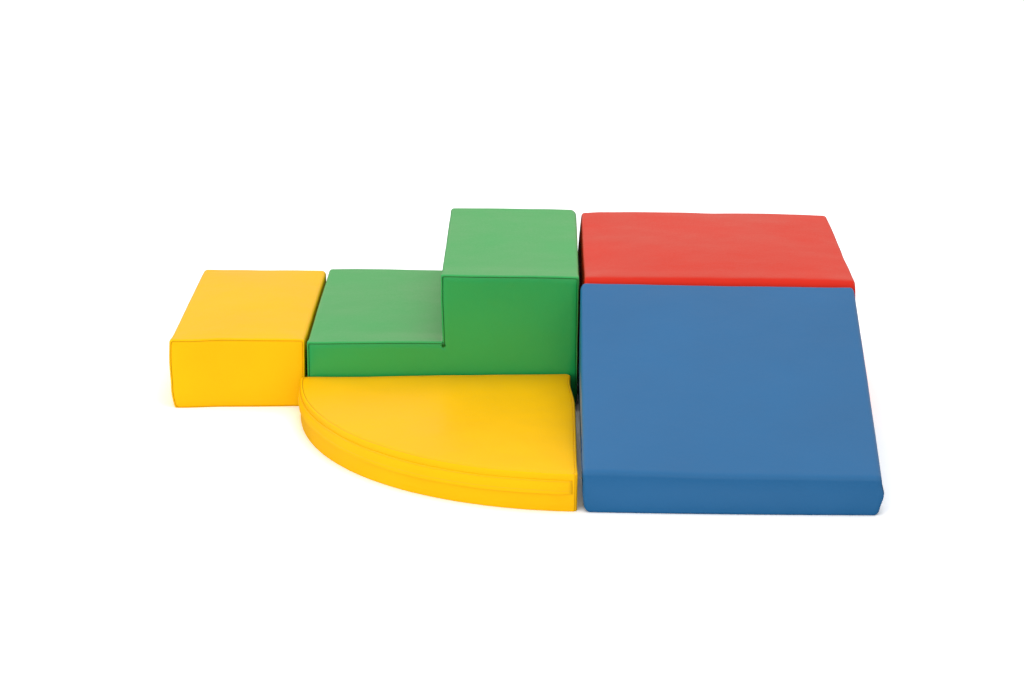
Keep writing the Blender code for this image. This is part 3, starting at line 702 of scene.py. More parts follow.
def steps_softness(points):
    x, y, z = points.T
    low = x < LOW_TREAD_WIDTH
    tread = np.where(low, x / LOW_TREAD_WIDTH, (x - LOW_TREAD_WIDTH) / (STEPS_WIDTH - LOW_TREAD_WIDTH))
    top = np.where(low, LOW_TREAD_HEIGHT, STEPS_HEIGHT)
    right = STEPS_RIGHT_SWELL * clear_of_strip(y, STEPS_DEPTH, z)
    moved = swell_sides(
        points, STEPS_WIDTH, STEPS_DEPTH, STEPS_HEIGHT, (0.0, right, 0.0, 0.0),
        (SIDE_TUCK, SIDE_TUCK, 0.0, SIDE_TUCK),
    )
    behind, above = RISER_REACH
    riser = faded((x - LOW_TREAD_WIDTH) / behind) * np.clip((z - LOW_TREAD_HEIGHT) / above, 0.0, 1.0)
    moved[:, 0] += slipped(points, STEPS_WIDTH) - RISER_SWELL * riser * (x >= LOW_TREAD_WIDTH)
    crown = crowned(points, (tread, y / STEPS_DEPTH), STEPS_CROWN_SHARES, top, STEPS_CROWN)
    moved[:, 2] += crown + sunk(points)
    low_lift, low_rise, high_lift = TREAD_LIFT_SHARES
    lift = np.where(low, low_lift + low_rise * tread, high_lift)
    edges = FRONT_EDGE_LIFT * faded(y / EDGE_LIFT_REACH) * lift
    edges += BACK_EDGE_LIFT * faded((STEPS_DEPTH - y) / EDGE_LIFT_REACH) * (x >= LOW_TREAD_WIDTH)
    moved[:, 2] += edges * np.minimum(z / top, 1.0)
    return moved


def end_block_softness(points):
    x, y, z = points.T
    shares = (x / END_BLOCK_WIDTH, y / END_BLOCK_DEPTH)
    moved = swell_sides(
        points, END_BLOCK_WIDTH, END_BLOCK_DEPTH, END_BLOCK_HEIGHT, (END_BLOCK_SWELL, 0.0, 0.0, 0.0),
        (SIDE_TUCK * END_BLOCK_TUCK_SHARE, SIDE_TUCK, 0.0, SIDE_TUCK),
    )
    right_front = (1.0 - faded(x / END_BLOCK_LIFT_FROM)) * (1.0 - shares[1])
    low, high = END_BLOCK_SLANT_LEVELS
    left = END_BLOCK_LOOSE + END_BLOCK_BELLY * hump(z / END_BLOCK_HEIGHT)
    left -= END_BLOCK_SLANT * faded((z - low) / (high - low))
    moved[:, 0] += slipped(points, END_BLOCK_WIDTH) - left * (1.0 - shares[0])
    spread = END_BLOCK_SPREAD_SHARE * FOOT_SPREAD * (1.0 - shares[0] ** 2)
    spread = spread * faded(z / END_BLOCK_FOOT_LEVEL) * faded(shares[1] * FOOT_FADE)
    moved[:, 1] += END_BLOCK_SKEW * right_front - spread
    crown = crowned(points, shares, END_BLOCK_CROWN_SHARES, END_BLOCK_HEIGHT, END_BLOCK_CROWN)
    moved[:, 2] += crown + sunk(points)
    edges = END_BLOCK_FRONT_LIFT * right_front ** 2 + FRONT_EDGE_LIFT * faded(y / EDGE_LIFT_REACH)
    moved[:, 2] += edges * z / END_BLOCK_HEIGHT
    return moved


def mat_softness(points):
    x, y, z = points.T
    left = np.clip(-x / MAT_RADIUS, 0.0, 1.0)
    front = np.clip(-y / MAT_RADIUS, 0.0, 1.0)
    inside = np.maximum(1.0 - left * left - front * front, 0.0)
    crown = MAT_CROWN * left * front * inside * 8.0
    lift = MAT_BACK_LIFTS[0] + (MAT_BACK_LIFTS[1] - MAT_BACK_LIFTS[0]) * left
    back = lift * (1.0 - front) ** MAT_BACK_POWER
    side = MAT_SIDE_SWELL * side_hump(z, MAT_HEIGHT) * hump(front)
    draw = MAT_CORNER_DRAW * np.exp(-((front * MAT_RADIUS - MAT_DRAW_FROM) / MAT_DRAW_REACH) ** 2)
    rim = left * left + front * front
    swell = MAT_ARC_SWELL * (2.0 * left * front) ** MAT_ARC_POWER * rim
    swell = swell * (1.0 - MAT_ARC_TOP_SHARE * z / MAT_HEIGHT)
    moved = np.zeros_like(points)
    moved[:, 0] = (side - draw + MAT_TIP_PUSH * front ** MAT_TIP_POWER) * (1.0 - left) ** 2 - swell * left
    moved[:, 1] = -swell * front
    moved[:, 2] = (crown + back) * z / MAT_HEIGHT + sunk(points)
    return moved


def noisy(points, scale, seed):
    """Smooth noise from about -1 to 1 at each point, with features of about 1 / scale metres."""
    offset = Vector([seed * step for step in NOISE_STEPS])
    return np.array([noise.noise(Vector(point) * scale + offset) for point in points])


def wobbled(points, seed):
    """Hand-sewn unevenness: little sideways, as the neighbours stand close, and more up and down."""
    free = np.clip(points[:, 2] / WOBBLE_FREE_LEVEL, 0.0, 1.0)[:, None]
    slow = np.stack([noisy(points, WOBBLE_SCALE, seed + axis) for axis in range(3)], axis=1)
    quick = np.stack([noisy(points, RIPPLE_SCALE, seed + axis + 3) for axis in range(3)], axis=1)
    return (slow * WOBBLE + quick * RIPPLE) * free


# Meshes
def outward_mesh(name, verts, faces):
    """Mesh whose faces all look outwards."""
    mesh = bpy.data.meshes.new(name)
    mesh.from_pydata(np.asarray(verts).tolist(), [], faces)
    bm = bmesh.new()
    bm.from_mesh(mesh)
    bmesh.ops.recalc_face_normals(bm, faces=bm.faces)
    bm.to_mesh(mesh)
    bm.free()
    return mesh


def smooth_normals(verts, faces):
    mesh = outward_mesh("normals", verts, faces)
    mesh.update()
    normals = np.zeros(len(verts) * 3, np.float32)
    mesh.vertex_normals.foreach_get("vector", normals)
    bpy.data.meshes.remove(mesh)
    return normals.reshape(-1, 3).astype(float)


def add_mesh(name, verts, faces, material, body, node, slot, smooth=True):
    """A piece of the scene that rides on a body and stands for a CAD node."""
    mesh = outward_mesh(name, verts, faces)
    mesh.materials.append(material)
    if smooth:
        mesh.shade_smooth()
    piece = bpy.data.objects.new(name, mesh)
    bpy.context.scene.collection.objects.link(piece)
    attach(piece, body)
    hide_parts(node)
    return piece


def bars(centres, radii, across, lift, sides=6):
    """Closed round bars as one mesh, from centres (n, k, 3), a radius per ring and two unit ways (n, 3)."""
    count, rings = centres.shape[:2]
    turns = np.arange(sides) * 2.0 * math.pi / sides
    ways = np.cos(turns)[None, :, None] * across[:, None, :] + np.sin(turns)[None, :, None] * lift[:, None, :]
    verts = centres[:, :, None, :] + np.asarray(radii)[None, :, None, None] * ways[:, None, :, :]
    faces = []
    for bar in range(count):
        start = bar * rings * sides
        for ring in range(rings - 1):
            faces += ring_faces(start + ring * sides, sides)
        faces.append(tuple(range(start, start + sides)))
        faces.append(tuple(range(start + (rings - 1) * sides, start + rings * sides)))
    return verts.reshape(-1, 3), faces


def tree_of(points):
    """Search tree of points, in their order."""
    tree = kdtree.KDTree(len(points))
    for index, point in enumerate(points):
        tree.insert(point, index)
    tree.balance()
    return tree


def joined(parts):
    """Verts and faces of several meshes as one."""
    verts, faces, shift = [], [], 0
    for some_verts, some_faces in parts:
        verts.append(some_verts)
        faces += [tuple(vert + shift for vert in face) for face in some_faces]
        shift += len(some_verts)
    return np.concatenate(verts), faces


def resampled(points, others, pitch, closed):
    """Points at an even pitch along a line, with the vectors that go with them."""
    if closed:
        points = np.concatenate([points, points[:1]])
        others = [np.concatenate([other, other[:1]]) for other in others]
    runs = runs_along(points)
    count = int(runs[-1] / pitch)
    wanted = (np.arange(count) + 0.5) * runs[-1] / count

    def pick(values):
        return np.stack([np.interp(wanted, runs, values[:, axis]) for axis in range(3)], axis=1)

    ways = units(pick(np.gradient(points, axis=0)))
    return pick(points), ways, [pick(other) for other in others]


# Swelling under the foam's pressure
def blown_up(shapes):
    """Cloth simulation of closed covers under pressure, held at the floor: how far each point moves."""
    scene = bpy.context.scene
    pieces = []
    for name, (verts, faces) in shapes.items():
        piece = bpy.data.objects.new(name + "_trial", outward_mesh(name + "_trial", verts, faces))
        scene.collection.objects.link(piece)
        held = piece.vertex_groups.new(name="held")
        held.add([int(vert) for vert in np.nonzero(verts[:, 2] < HELD_LEVEL)[0]], 1.0, "REPLACE")
        cloth = piece.modifiers.new("cloth", "CLOTH")
        cloth.settings.quality = CLOTH_QUALITY
        cloth.settings.mass = CLOTH_MASS
        cloth.settings.tension_stiffness = CLOTH_TENSION
        cloth.settings.compression_stiffness = CLOTH_TENSION
        cloth.settings.bending_stiffness = CLOTH_BENDING
        cloth.settings.use_pressure = True
        cloth.settings.uniform_pressure_force = CLOTH_PRESSURE
        cloth.settings.vertex_group_mass = "held"
        cloth.settings.effector_weights.gravity = 0.0
        cloth.collision_settings.use_collision = False
        cloth.collision_settings.use_self_collision = False
        cloth.point_cache.frame_start = 1
        cloth.point_cache.frame_end = CLOTH_FRAMES
        pieces.append(piece)
    for number in range(1, CLOTH_FRAMES + 1):
        scene.frame_set(number)
    graph = bpy.context.evaluated_depsgraph_get()
    moves = {}
    for piece, (name, (verts, _)) in zip(pieces, shapes.items()):
        swollen = piece.evaluated_get(graph).to_mesh()
        places = np.zeros(len(verts) * 3, np.float32)
        swollen.vertices.foreach_get("co", places)
        moves[name] = places.reshape(-1, 3) - verts
        piece.evaluated_get(graph).to_mesh_clear()
    for piece in pieces:
        mesh = piece.data
        bpy.data.objects.remove(piece)
        bpy.data.meshes.remove(mesh)
    scene.frame_set(1)
    return moves


# By module name: search tree of the simulated points, and their moves
SWELLINGS = {}


def simulate(blocks):
    """Keep each module's swelling, scaled so that it stays within its cap and mostly upwards."""
    shapes = {}
    for module, block in blocks:
        shapes[module.name] = (block.verts + module.softness(block.verts), block.closed)
    for name, moves in blown_up(shapes).items():
        moves = moves * SWELLING_CAP / max(np.linalg.norm(moves, axis=1).max(), SWELLING_CAP)
        moves = moves * (SIDEWAYS_SHARE, SIDEWAYS_SHARE, 1.0)
        SWELLINGS[name] = (tree_of(shapes[name][0]), moves)


def swelling(name, points):
    """Simulated move at each point, from the nearest points of the simulation."""
    if name not in SWELLINGS:
        return np.zeros_like(points)
    tree, moves = SWELLINGS[name]
    result = []
    for point in points:
        near = tree.find_n(point, SWELLING_NEAR)
        weights = np.array([1.0 / (gap + SWELLING_BLUR) ** 2 for _, _, gap in near])
        result.append(weights @ moves[[index for _, index, _ in near]] / weights.sum())
    return np.array(result)


# Covers
def seam_lip(distance, depth):
    """How deep the cover has rolled in at this distance from its seam: more widely on the panel's side."""
    tight = np.clip(1.0 - np.abs(distance) / LIP_REACH, 0.0, 1.0)
    tight = 1.0 - np.sqrt(1.0 - tight ** 2)
    wide = np.clip(1.0 + distance / PANEL_ROLL_REACH, 0.0, 1.0) ** 2
    panel = (1.0 - PANEL_ROLL_SHARE) * tight + PANEL_ROLL_SHARE * wide
    return depth * np.where(distance < 0.0, panel, tight)


def near_seams(verts, seam_points, seam_runs):
    """Distance of each vertex from its nearest seam, and the run along that seam."""
    tree = tree_of(seam_points)
    found = [tree.find(vert) for vert in verts]
    return np.array([gap for _, _, gap in found]), seam_runs[[index for _, index, _ in found]]


def add_panel(name, body, node, slot, material, verts, normals, faces, marks):
    """One panel of a cover: a sheet with its seam allowance turned in."""
    used = sorted({vert for face in faces for vert in face})
    index = {vert: place for place, vert in enumerate(used)}
    faces = [tuple(index[vert] for vert in face) for face in faces]
    piece = add_mesh(name, verts[used], faces, material, body, node, slot)
    bm = bmesh.new()
    bm.from_mesh(piece.data)
    bm.verts.ensure_lookup_table()
    inward = bm.verts.layers.float_vector.new("inward")
    for vert, place in index.items():
        bm.verts[place][inward] = Vector(-normals[vert] * ALLOWANCE)
    for key, values in marks.items():
        layer = bm.verts.layers.float.new(key)
        for vert, place in index.items():
            bm.verts[place][layer] = values[vert]
    border = [edge for edge in bm.edges if edge.is_boundary]
    for vert in bmesh.ops.extrude_edge_only(bm, edges=border)["geom"]:
        if isinstance(vert, bmesh.types.BMVert):
            vert.co += vert[inward]
    bm.verts.layers.float_vector.remove(inward)
    bmesh.ops.recalc_face_normals(bm, faces=bm.faces)
    bm.to_mesh(piece.data)
    bm.free()
    solid = piece.modifiers.new("sheet", "SOLIDIFY")
    solid.thickness = SHEET
    solid.offset = -1.0


def shaped(module, points):
    """Places of points of a module once its cover is soft, uneven and swollen."""
    shape = points + module.softness(points)
    return shape + wobbled(shape, module.seed) + swelling(module.name, shape)


def dress(module, block, foam_block, lip_depth=LIP_DEPTH, column_gap=None):
    """Build one module's cover from its block, its seam threads, and its foam from a coarser one."""
    place = np.array(module.place)
    shape = shaped(module, block.verts)
    normals = smooth_normals(shape, block.closed)
    gap = np.abs(block.distance)
    lip = seam_lip(block.distance, lip_depth)
    if column_gap is not None:
        gap = np.minimum(gap, np.abs(column_gap))
        lip = np.maximum(lip, seam_lip(np.abs(column_gap), lip_depth))
    verts = shape - normals * lip[:, None]
    verts[:, 2] = np.maximum(verts[:, 2], 0.0)
    verts += place
    on_seam = gap < ON_SEAM
    runs = np.zeros(len(verts))
    runs[:block.count * len(block.rows)] = np.tile(block.runs, len(block.rows))
    seam_gap, seam_run = near_seams(verts, verts[on_seam], (runs + verts[:, 2])[on_seam])
    marks = {"seam_near": np.maximum(SEAM_REACH - seam_gap, 0.0), "seam_run": seam_run}
    for tag, (piece_name, node) in module.panels.items():
        faces = [face for face, tag_of in zip(block.faces, block.tags) if tag_of == tag]
        material, slot = module.vinyl, module.slot
        if node.endswith("_base"):
            material, slot = NON_SLIP, "non_slip_base"
        add_panel(piece_name, module.name, node, slot, material, verts, normals, faces, marks)
    add_threads(module, block, verts, normals, column_gap)
    foam = shaped(module, foam_block.verts) + place
    foam = foam - smooth_normals(foam, foam_block.closed) * FOAM_INSET
    foam[:, 2] = np.maximum(foam[:, 2], FOAM_INSET)
    name = module.name
    piece = add_mesh(name + "_foam", foam, foam_block.closed, FOAM, name, name + "_core", "foam")


def upright_seams(block, column_gap):
    """Points of each upright seam of a band, from row to row."""
    wrap_rows = [row for row, facts in enumerate(block.rows) if facts.panel == WRAP]
    gaps = column_gap[wrap_rows[0] * block.count:(wrap_rows[0] + 1) * block.count]
    steps = np.nonzero(np.isclose(gaps, COLUMN_HALF_GAP, atol=HAIR))[0]
    return [[row * block.count + step for row in wrap_rows] for step in steps]


def add_threads(module, block, verts, normals, column_gap):
    """Lock stitches that show as short rungs in the bottom of each seam."""
    lines = []
    for row in range(len(block.rows) - 1):
        if block.rows[row].panel != block.rows[row + 1].panel:
            first = slice(row * block.count, (row + 1) * block.count)
            second = slice((row + 1) * block.count, (row + 2) * block.count)
            lines.append(((verts[first] + verts[second]) / 2.0, normals[first], True))
    if column_gap is not None:
        for column in upright_seams(block, column_gap):
            lines.append((verts[column], normals[column], False))
    parts = []
    for points, ways_out, closed in lines:
        places, along, (out,) = resampled(points, [ways_out], STITCH_PITCH, closed)
        out = units(out)
        across = units(np.cross(out, along))
        centres = np.stack([
            places + out * (THREAD_RADIUS * (1.0 + lift)) + across * (STITCH_HALF_LENGTH * reach)
            for lift, reach in zip(LOCK_LIFT_SHARES, LOCK_REACH_SHARES)
        ], axis=1)
        radii = [THREAD_RADIUS * share for share in LOCK_RADIUS_SHARES]
        parts.append(bars(centres, radii, along, out, STITCH_SIDES))
    stitches, faces = joined(parts)
    stitches[:, 2] = np.maximum(stitches[:, 2], 0.0)
    wrap_node = module.panels[WRAP][1]
    name = module.name
    add_mesh(name + "_seam_thread", stitches, faces, module.thread, name, wrap_node, module.slot)


def running_stitches(points, outs, closed):
    """A row of stitches that lie along a line of points."""
    places, along, (out,) = resampled(points, [outs], STITCH_PITCH, closed)
    out = units(out)
    across = units(np.cross(out, along))
    centres = np.stack([
        places + out * (THREAD_RADIUS * lift) + along * (STITCH_PITCH * reach)
        for lift, reach in zip(RUNNING_LIFT_SHARES, RUNNING_REACH_SHARES)
    ], axis=1)
    radii = [THREAD_RADIUS * RUNNING_RADIUS_SHARE] * len(RUNNING_LIFT_SHARES)
    return bars(centres, radii, across, out, STITCH_SIDES)


# Lofted and swept forms
def lofted(rings):
    """Closed form through rings of as many points each."""
    rings = np.asarray(rings)
    levels, count = rings.shape[:2]
    faces = []
    for level in range(levels - 1):
        faces += ring_faces(level * count, count)
    faces.append(tuple(range(count)))
    faces.append(tuple(range((levels - 1) * count, levels * count)))
    return rings.reshape(-1, rings.shape[-1]), faces


def rounded_rectangle(width, height, radius, steps=6):
    turns = np.linspace(0.0, math.pi / 2, steps)
    points = []
    for quarter, (side_x, side_y) in enumerate(((1, 1), (-1, 1), (-1, -1), (1, -1))):
        centre = np.array((side_x * (width / 2 - radius), side_y * (height / 2 - radius)))
        angles = turns + quarter * math.pi / 2
        points.append(centre + radius * np.stack([np.cos(angles), np.sin(angles)], axis=1))
    return np.concatenate(points)


def swept(section, alongs, lay, sway=None):
    """Closed section of (outward, level) points carried along a side of a module."""
    along = np.repeat(alongs, len(section))
    outward, level = np.tile(section, (len(alongs), 1)).T
    if sway:
        outward, level = sway(along, outward, level)
    return lofted(lay(along, outward, level).reshape(len(alongs), len(section), 3))


# Zips
def laid(module, side):
    """Function that puts points at (along, outward, level) on a side of a module as its cover lies."""
    def lay(along, outward, level):
        base, way = side(along, level)
        return shaped(module, base) + way * outward[:, None] + np.array(module.place)
    return lay


def straight_side(corner, along_axis, outward_axis):
    """A flat side through a corner, with its zip along one axis."""
    def side(along, level):
        base = np.tile(np.array(corner, float), (len(along), 1))
        base[:, along_axis] += along
        base[:, 2] = level
        way = np.zeros_like(base)
        way[:, outward_axis] = 1.0
        return base, way
    return side


def round_side(along, level):
    """The mat's arc, from its left tip."""
    turn = along / MAT_RADIUS
    way = np.stack([-np.cos(turn), -np.sin(turn), np.zeros(len(turn))], axis=1)
    base = way * MAT_RADIUS
    base[:, 2] = level
    return base, way


def flap_section(level):
    """Section of the flap: sewn on above the slit, standing off over the slider, with a turned hem."""
    top = level + ZIP_SLIT_HEIGHT / 2
    low = level - ZIP_SLIT_HEIGHT / 2
    hem_heights = [HEM_HEIGHT * share for share in HEM_SHARES] + [HEM_HALF_THICKNESS]
    middle_line = [(FLAP_EDGE_STAND_OFF, top + FLAP_ABOVE, FLAP_EDGE_HALF_THICKNESS)]
    middle_line += [(outward, top + FLAP_ABOVE * share, FLAP_HALF_THICKNESS) for outward, share in FLAP_BENDS]
    middle_line.append((FLAP_STAND_OFF, top - FLAP_BELOW * FLAP_CLEAR_SHARE, FLAP_HALF_THICKNESS))
    middle_line.append((FLAP_STAND_OFF, low - FLAP_BELOW + HEM_HEIGHT, FLAP_HALF_THICKNESS))
    middle_line += [(FLAP_STAND_OFF, low - FLAP_BELOW + height, HEM_HALF_THICKNESS) for height in hem_heights]
    outer = [(outward + half, height) for outward, height, half in middle_line]
    inner = [(outward - half, height) for outward, height, half in reversed(middle_line)]
    last = middle_line[-1]
    turns = np.linspace(0.0, math.pi, HEM_TURNS)[1:-1]
    hem = [(last[0] + last[2] * math.cos(turn), last[1] - last[2] * math.sin(turn)) for turn in turns]
    return np.array(outer + hem + inner)


def flap_sway(module, level, length):
    """Slight waves of the flap's hanging edge, which is sewn down at both ends."""
    top = level + ZIP_SLIT_HEIGHT / 2 + FLAP_ABOVE

    def sway(along, outward, heights):
        hang = np.clip((top - heights) / FLAP_HEIGHT, 0.0, 1.0)
        ends = np.stack([along, np.zeros_like(along), np.zeros_like(along)], axis=1)
        from_end = np.minimum(along, length - along) - FLAP_END_MARGIN
        free = 1.0 - faded(from_end / FLAP_SEWN_REACH)
        outward = outward * (FLAP_SEWN_SHARE + (1.0 - FLAP_SEWN_SHARE) * free)
        outward += hang * free * FLAP_WAVE * noisy(ends, FLAP_WAVE_SCALES[0], module.seed)
        return outward, heights + hang * FLAP_WAVE * noisy(ends, FLAP_WAVE_SCALES[1], module.seed + 1)
    return sway


def tooth_bars(start, end, level, lay):
    """Teeth of the two rows in turn, each a rounded bar that reaches a little past the middle."""
    count = int((end - start) / TOOTH_PITCH)
    along = start + (np.arange(count) + 0.5) * TOOTH_PITCH
    row = np.where(np.arange(count) % 2, 1.0, -1.0)
    reaches = TOOTH_REACH_SHARES * TOOTH_REACH
    radii = TOOTH_RADIUS_SHARES * TOOTH_RADIUS
    centres = np.stack([lay(along, np.zeros(count), level + row * reach) for reach in reaches], axis=1)
    ahead = lay(along + TOOTH_PITCH, np.zeros(count), np.full(count, level))
    behind = lay(along - TOOTH_PITCH, np.zeros(count), np.full(count, level))
    ways = units(ahead - behind)
    out = units(np.cross(ways, np.array((0.0, 0.0, 1.0))))
    return bars(centres, radii, ways, out)


def slider_form(start, level, lay):
    """Two plates that hold the chain, a post between them, and a pull that lies along the chain."""
    def plate(low, high, grown):
        outline = np.array(SLIDER_OUTLINE)
        outline = np.concatenate([outline, outline[::-1] * (1.0, -1.0)])
        centre = outline.mean(axis=0)
        levels = (low, low + PLATE_EDGES[0], high - PLATE_EDGES[1], high)
        rings = []
        for height, share in zip(levels, (PLATE_EDGE_SHARES[0], 1.0, 1.0, PLATE_EDGE_SHARES[1])):
            ring = centre + (outline - centre) * share * grown
            rings.append(lay(start + ring[:, 0], np.full(len(ring), height), level + ring[:, 1]))
        return lofted(rings)

    def slab(along, low, high, length, width):
        levels = (low, low + SLAB_EDGE, high - SLAB_EDGE, high)
        rings = []
        for height, inset in zip(levels, (SLAB_EDGE, 0.0, 0.0, SLAB_EDGE)):
            corner = width * SLAB_CORNER_SHARE - inset
            ring = rounded_rectangle(length - 2 * inset, width - 2 * inset, corner, SLAB_CORNER_STEPS)
            rings.append(lay(start + along + ring[:, 0], np.full(len(ring), height), level + ring[:, 1]))
        return lofted(rings)

    return joined([plate(*sizes) for sizes in SLIDER_PLATES] + [slab(*sizes) for sizes in SLIDER_SLABS])


def add_zip(module, side, length, level):
    """Zip, flap and slider along one side of a module."""
    name = module.name
    start, end = ZIP_END_MARGIN + ZIP_MARGIN_FIT, length - ZIP_END_MARGIN - ZIP_MARGIN_FIT
    lay = laid(module, side)
    tape_half = TAPE_HALF_HEIGHT
    tape_section = np.array([
        (-TAPE_DEPTH, level - tape_half), (-TAPE_DEPTH, level - tape_half / 2), (-TAPE_DEPTH, level),
        (-TAPE_DEPTH, level + tape_half / 2), (-TAPE_DEPTH, level + tape_half),
        (-TAPE_DEPTH - TAPE_THICKNESS, level + tape_half), (-TAPE_DEPTH - TAPE_THICKNESS, level - tape_half),
    ])
    tape = swept(tape_section, spaced([start, end], FINE.cell), lay)
    add_mesh(name + "_zip_tape", *tape, ZIP_TAPE, name, name + "_zip", "zip_metal")

    def lay_chain(along, outward, height):
        return lay(along, outward - TAPE_DEPTH + TOOTH_RADIUS, height)

    teeth = tooth_bars(start, end, level, lay_chain)
    add_mesh(name + "_zip_teeth", *teeth, ZIP_METAL, name, name + "_zip", "zip_metal")
    section = flap_section(level)
    alongs = spaced([FLAP_END_MARGIN, length - FLAP_END_MARGIN], FINE.cell)
    sway = flap_sway(module, level, length)
    form = swept(section, alongs, lay, sway)
    flap = add_mesh(name + "_zip_cover_flap", *form, module.vinyl, name, name + "_zip_flap", module.slot)
    parts = []
    for share, outward in FLAP_STITCH_LEVELS:
        height = level + ZIP_SLIT_HEIGHT / 2 + FLAP_ABOVE - share * FLAP_HEIGHT
        outwards, heights = sway(alongs, np.full(len(alongs), outward), np.full(len(alongs), height))
        line = lay(alongs, outwards, heights)
        _, way = side(alongs, heights)
        parts.append(running_stitches(line, way, False))
    add_mesh(name + "_flap_thread", *joined(parts), module.thread, name, name + "_zip_flap", module.slot)
    slider = slider_form(start, level, lay)
    body, node = name + "_slider", name + "_zip_slider"
    add_mesh(name + "_zip_puller", *slider, ZIP_METAL, body, node, "zip_metal", smooth=False)


# Hook-and-loop strips
def add_strip(node, body, outward_axis, outward_sign, material, slot):
    """Strip with rounded corners, sewn on around its border, in the space of its CAD node."""
    low, high = (np.array(corner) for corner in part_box(node))
    along_axis = 1 - outward_axis
    thickness = high[outward_axis] - low[outward_axis]
    base = low[outward_axis] if outward_sign > 0 else high[outward_axis]
    middle = (low + high) / 2.0
    size = high - low

    def ring(height, inset):
        long, wide = size[along_axis] - 2 * inset, size[2] - 2 * inset
        flat = rounded_rectangle(long, wide, STRIP_CORNER_RADIUS - inset)
        points = np.tile(middle, (len(flat), 1))
        points[:, along_axis] += flat[:, 0]
        points[:, 2] += flat[:, 1]
        points[:, outward_axis] = base + outward_sign * thickness * height
        return points

    rings = [ring(height, inset) for height, inset in STRIP_SECTION]
    add_mesh(node + "_tape", *lofted(rings), material, body, node, slot)
    line = ring(STRIP_STITCH_HEIGHT_SHARE, STRIP_STITCH_INSET)
    out = np.zeros_like(line)
    out[:, outward_axis] = outward_sign
    stitches = running_stitches(line, out, True)
    add_mesh(node + "_thread", *stitches, DARK_THREAD, body, node, slot)


# Materials
class Surface:
    """Puts one material together from nodes; places are in metres."""

    def __init__(self, name):
        self.material = bpy.data.materials.new(name)
        self.material.use_nodes = True
        self.nodes = self.material.node_tree.nodes
        self.links = self.material.node_tree.links
        self.shader = self.nodes["Principled BSDF"]
        self.place = self.nodes.new("ShaderNodeTexCoord").outputs["Object"]
        self.normal = None

    def feed(self, socket, value):
        if isinstance(value, bpy.types.NodeSocket):
            self.links.new(value, socket)
        else:
            socket.default_value = value

    def noise(self, scale, detail=2.0, place=None):
        made = self.nodes.new("ShaderNodeTexNoise")
        made.inputs["Scale"].default_value = scale
        made.inputs["Detail"].default_value = detail
        self.links.new(self.place if place is None else place, made.inputs["Vector"])
        return made.outputs["Fac"]

    def cells(self, scale, randomness=1.0, feature="F1"):
        made = self.nodes.new("ShaderNodeTexVoronoi")
        made.feature = feature
        made.inputs["Scale"].default_value = scale
        made.inputs["Randomness"].default_value = randomness
        self.links.new(self.place, made.inputs["Vector"])
        return made.outputs["Distance"]

    def wave(self, scale, direction):
        made = self.nodes.new("ShaderNodeTexWave")
        made.bands_direction = direction
        made.inputs["Scale"].default_value = scale
        made.inputs["Distortion"].default_value = 0.4
        self.links.new(self.place, made.inputs["Vector"])
        return made.outputs["Fac"]

    def mark(self, name):
        made = self.nodes.new("ShaderNodeAttribute")
        made.attribute_name = name
        return made.outputs["Fac"]

    def math(self, operation, first, second=0.0):
        made = self.nodes.new("ShaderNodeMath")
        made.operation = operation
        self.feed(made.inputs[0], first)
        self.feed(made.inputs[1], second)
        return made.outputs[0]

    def spread(self, value, low, high, to_low, to_high):
        made = self.nodes.new("ShaderNodeMapRange")
        for name, number in (("From Min", low), ("From Max", high), ("To Min", to_low), ("To Max", to_high)):
            made.inputs[name].default_value = number
        self.links.new(value, made.inputs["Value"])
        return made.outputs["Result"]

    def mix(self, share, first, second):
        made = self.nodes.new("ShaderNodeMix")
        made.data_type = "RGBA"
        self.feed(made.inputs["Factor"], share)
        for socket, colour in ((made.inputs[6], first), (made.inputs[7], second)):
            self.feed(socket, (*colour, 1.0) if isinstance(colour, tuple) else colour)
        return made.outputs[2]

    def point(self, x, y):
        made = self.nodes.new("ShaderNodeCombineXYZ")
        self.feed(made.inputs[0], x)
        self.feed(made.inputs[1], y)
        return made.outputs[0]

    def bump(self, height, depth):
        made = self.nodes.new("ShaderNodeBump")
        made.inputs["Distance"].default_value = depth
        made.inputs["Strength"].default_value = 1.0
        self.links.new(height, made.inputs["Height"])
        if self.normal is not None:
            self.links.new(self.normal, made.inputs["Normal"])
        self.normal = made.outputs["Normal"]

    def finish(self, colour, roughness, **constants):
        self.feed(self.shader.inputs["Base Color"], colour)
        self.feed(self.shader.inputs["Roughness"], roughness)
        if self.normal is not None:
            self.links.new(self.normal, self.shader.inputs["Normal"])
        for name, value in constants.items():
            self.shader.inputs[name.replace("_", " ")].default_value = value
        return self.material


def toned(colour, share):
    return tuple(min(channel * share, 1.0) for channel in colour)


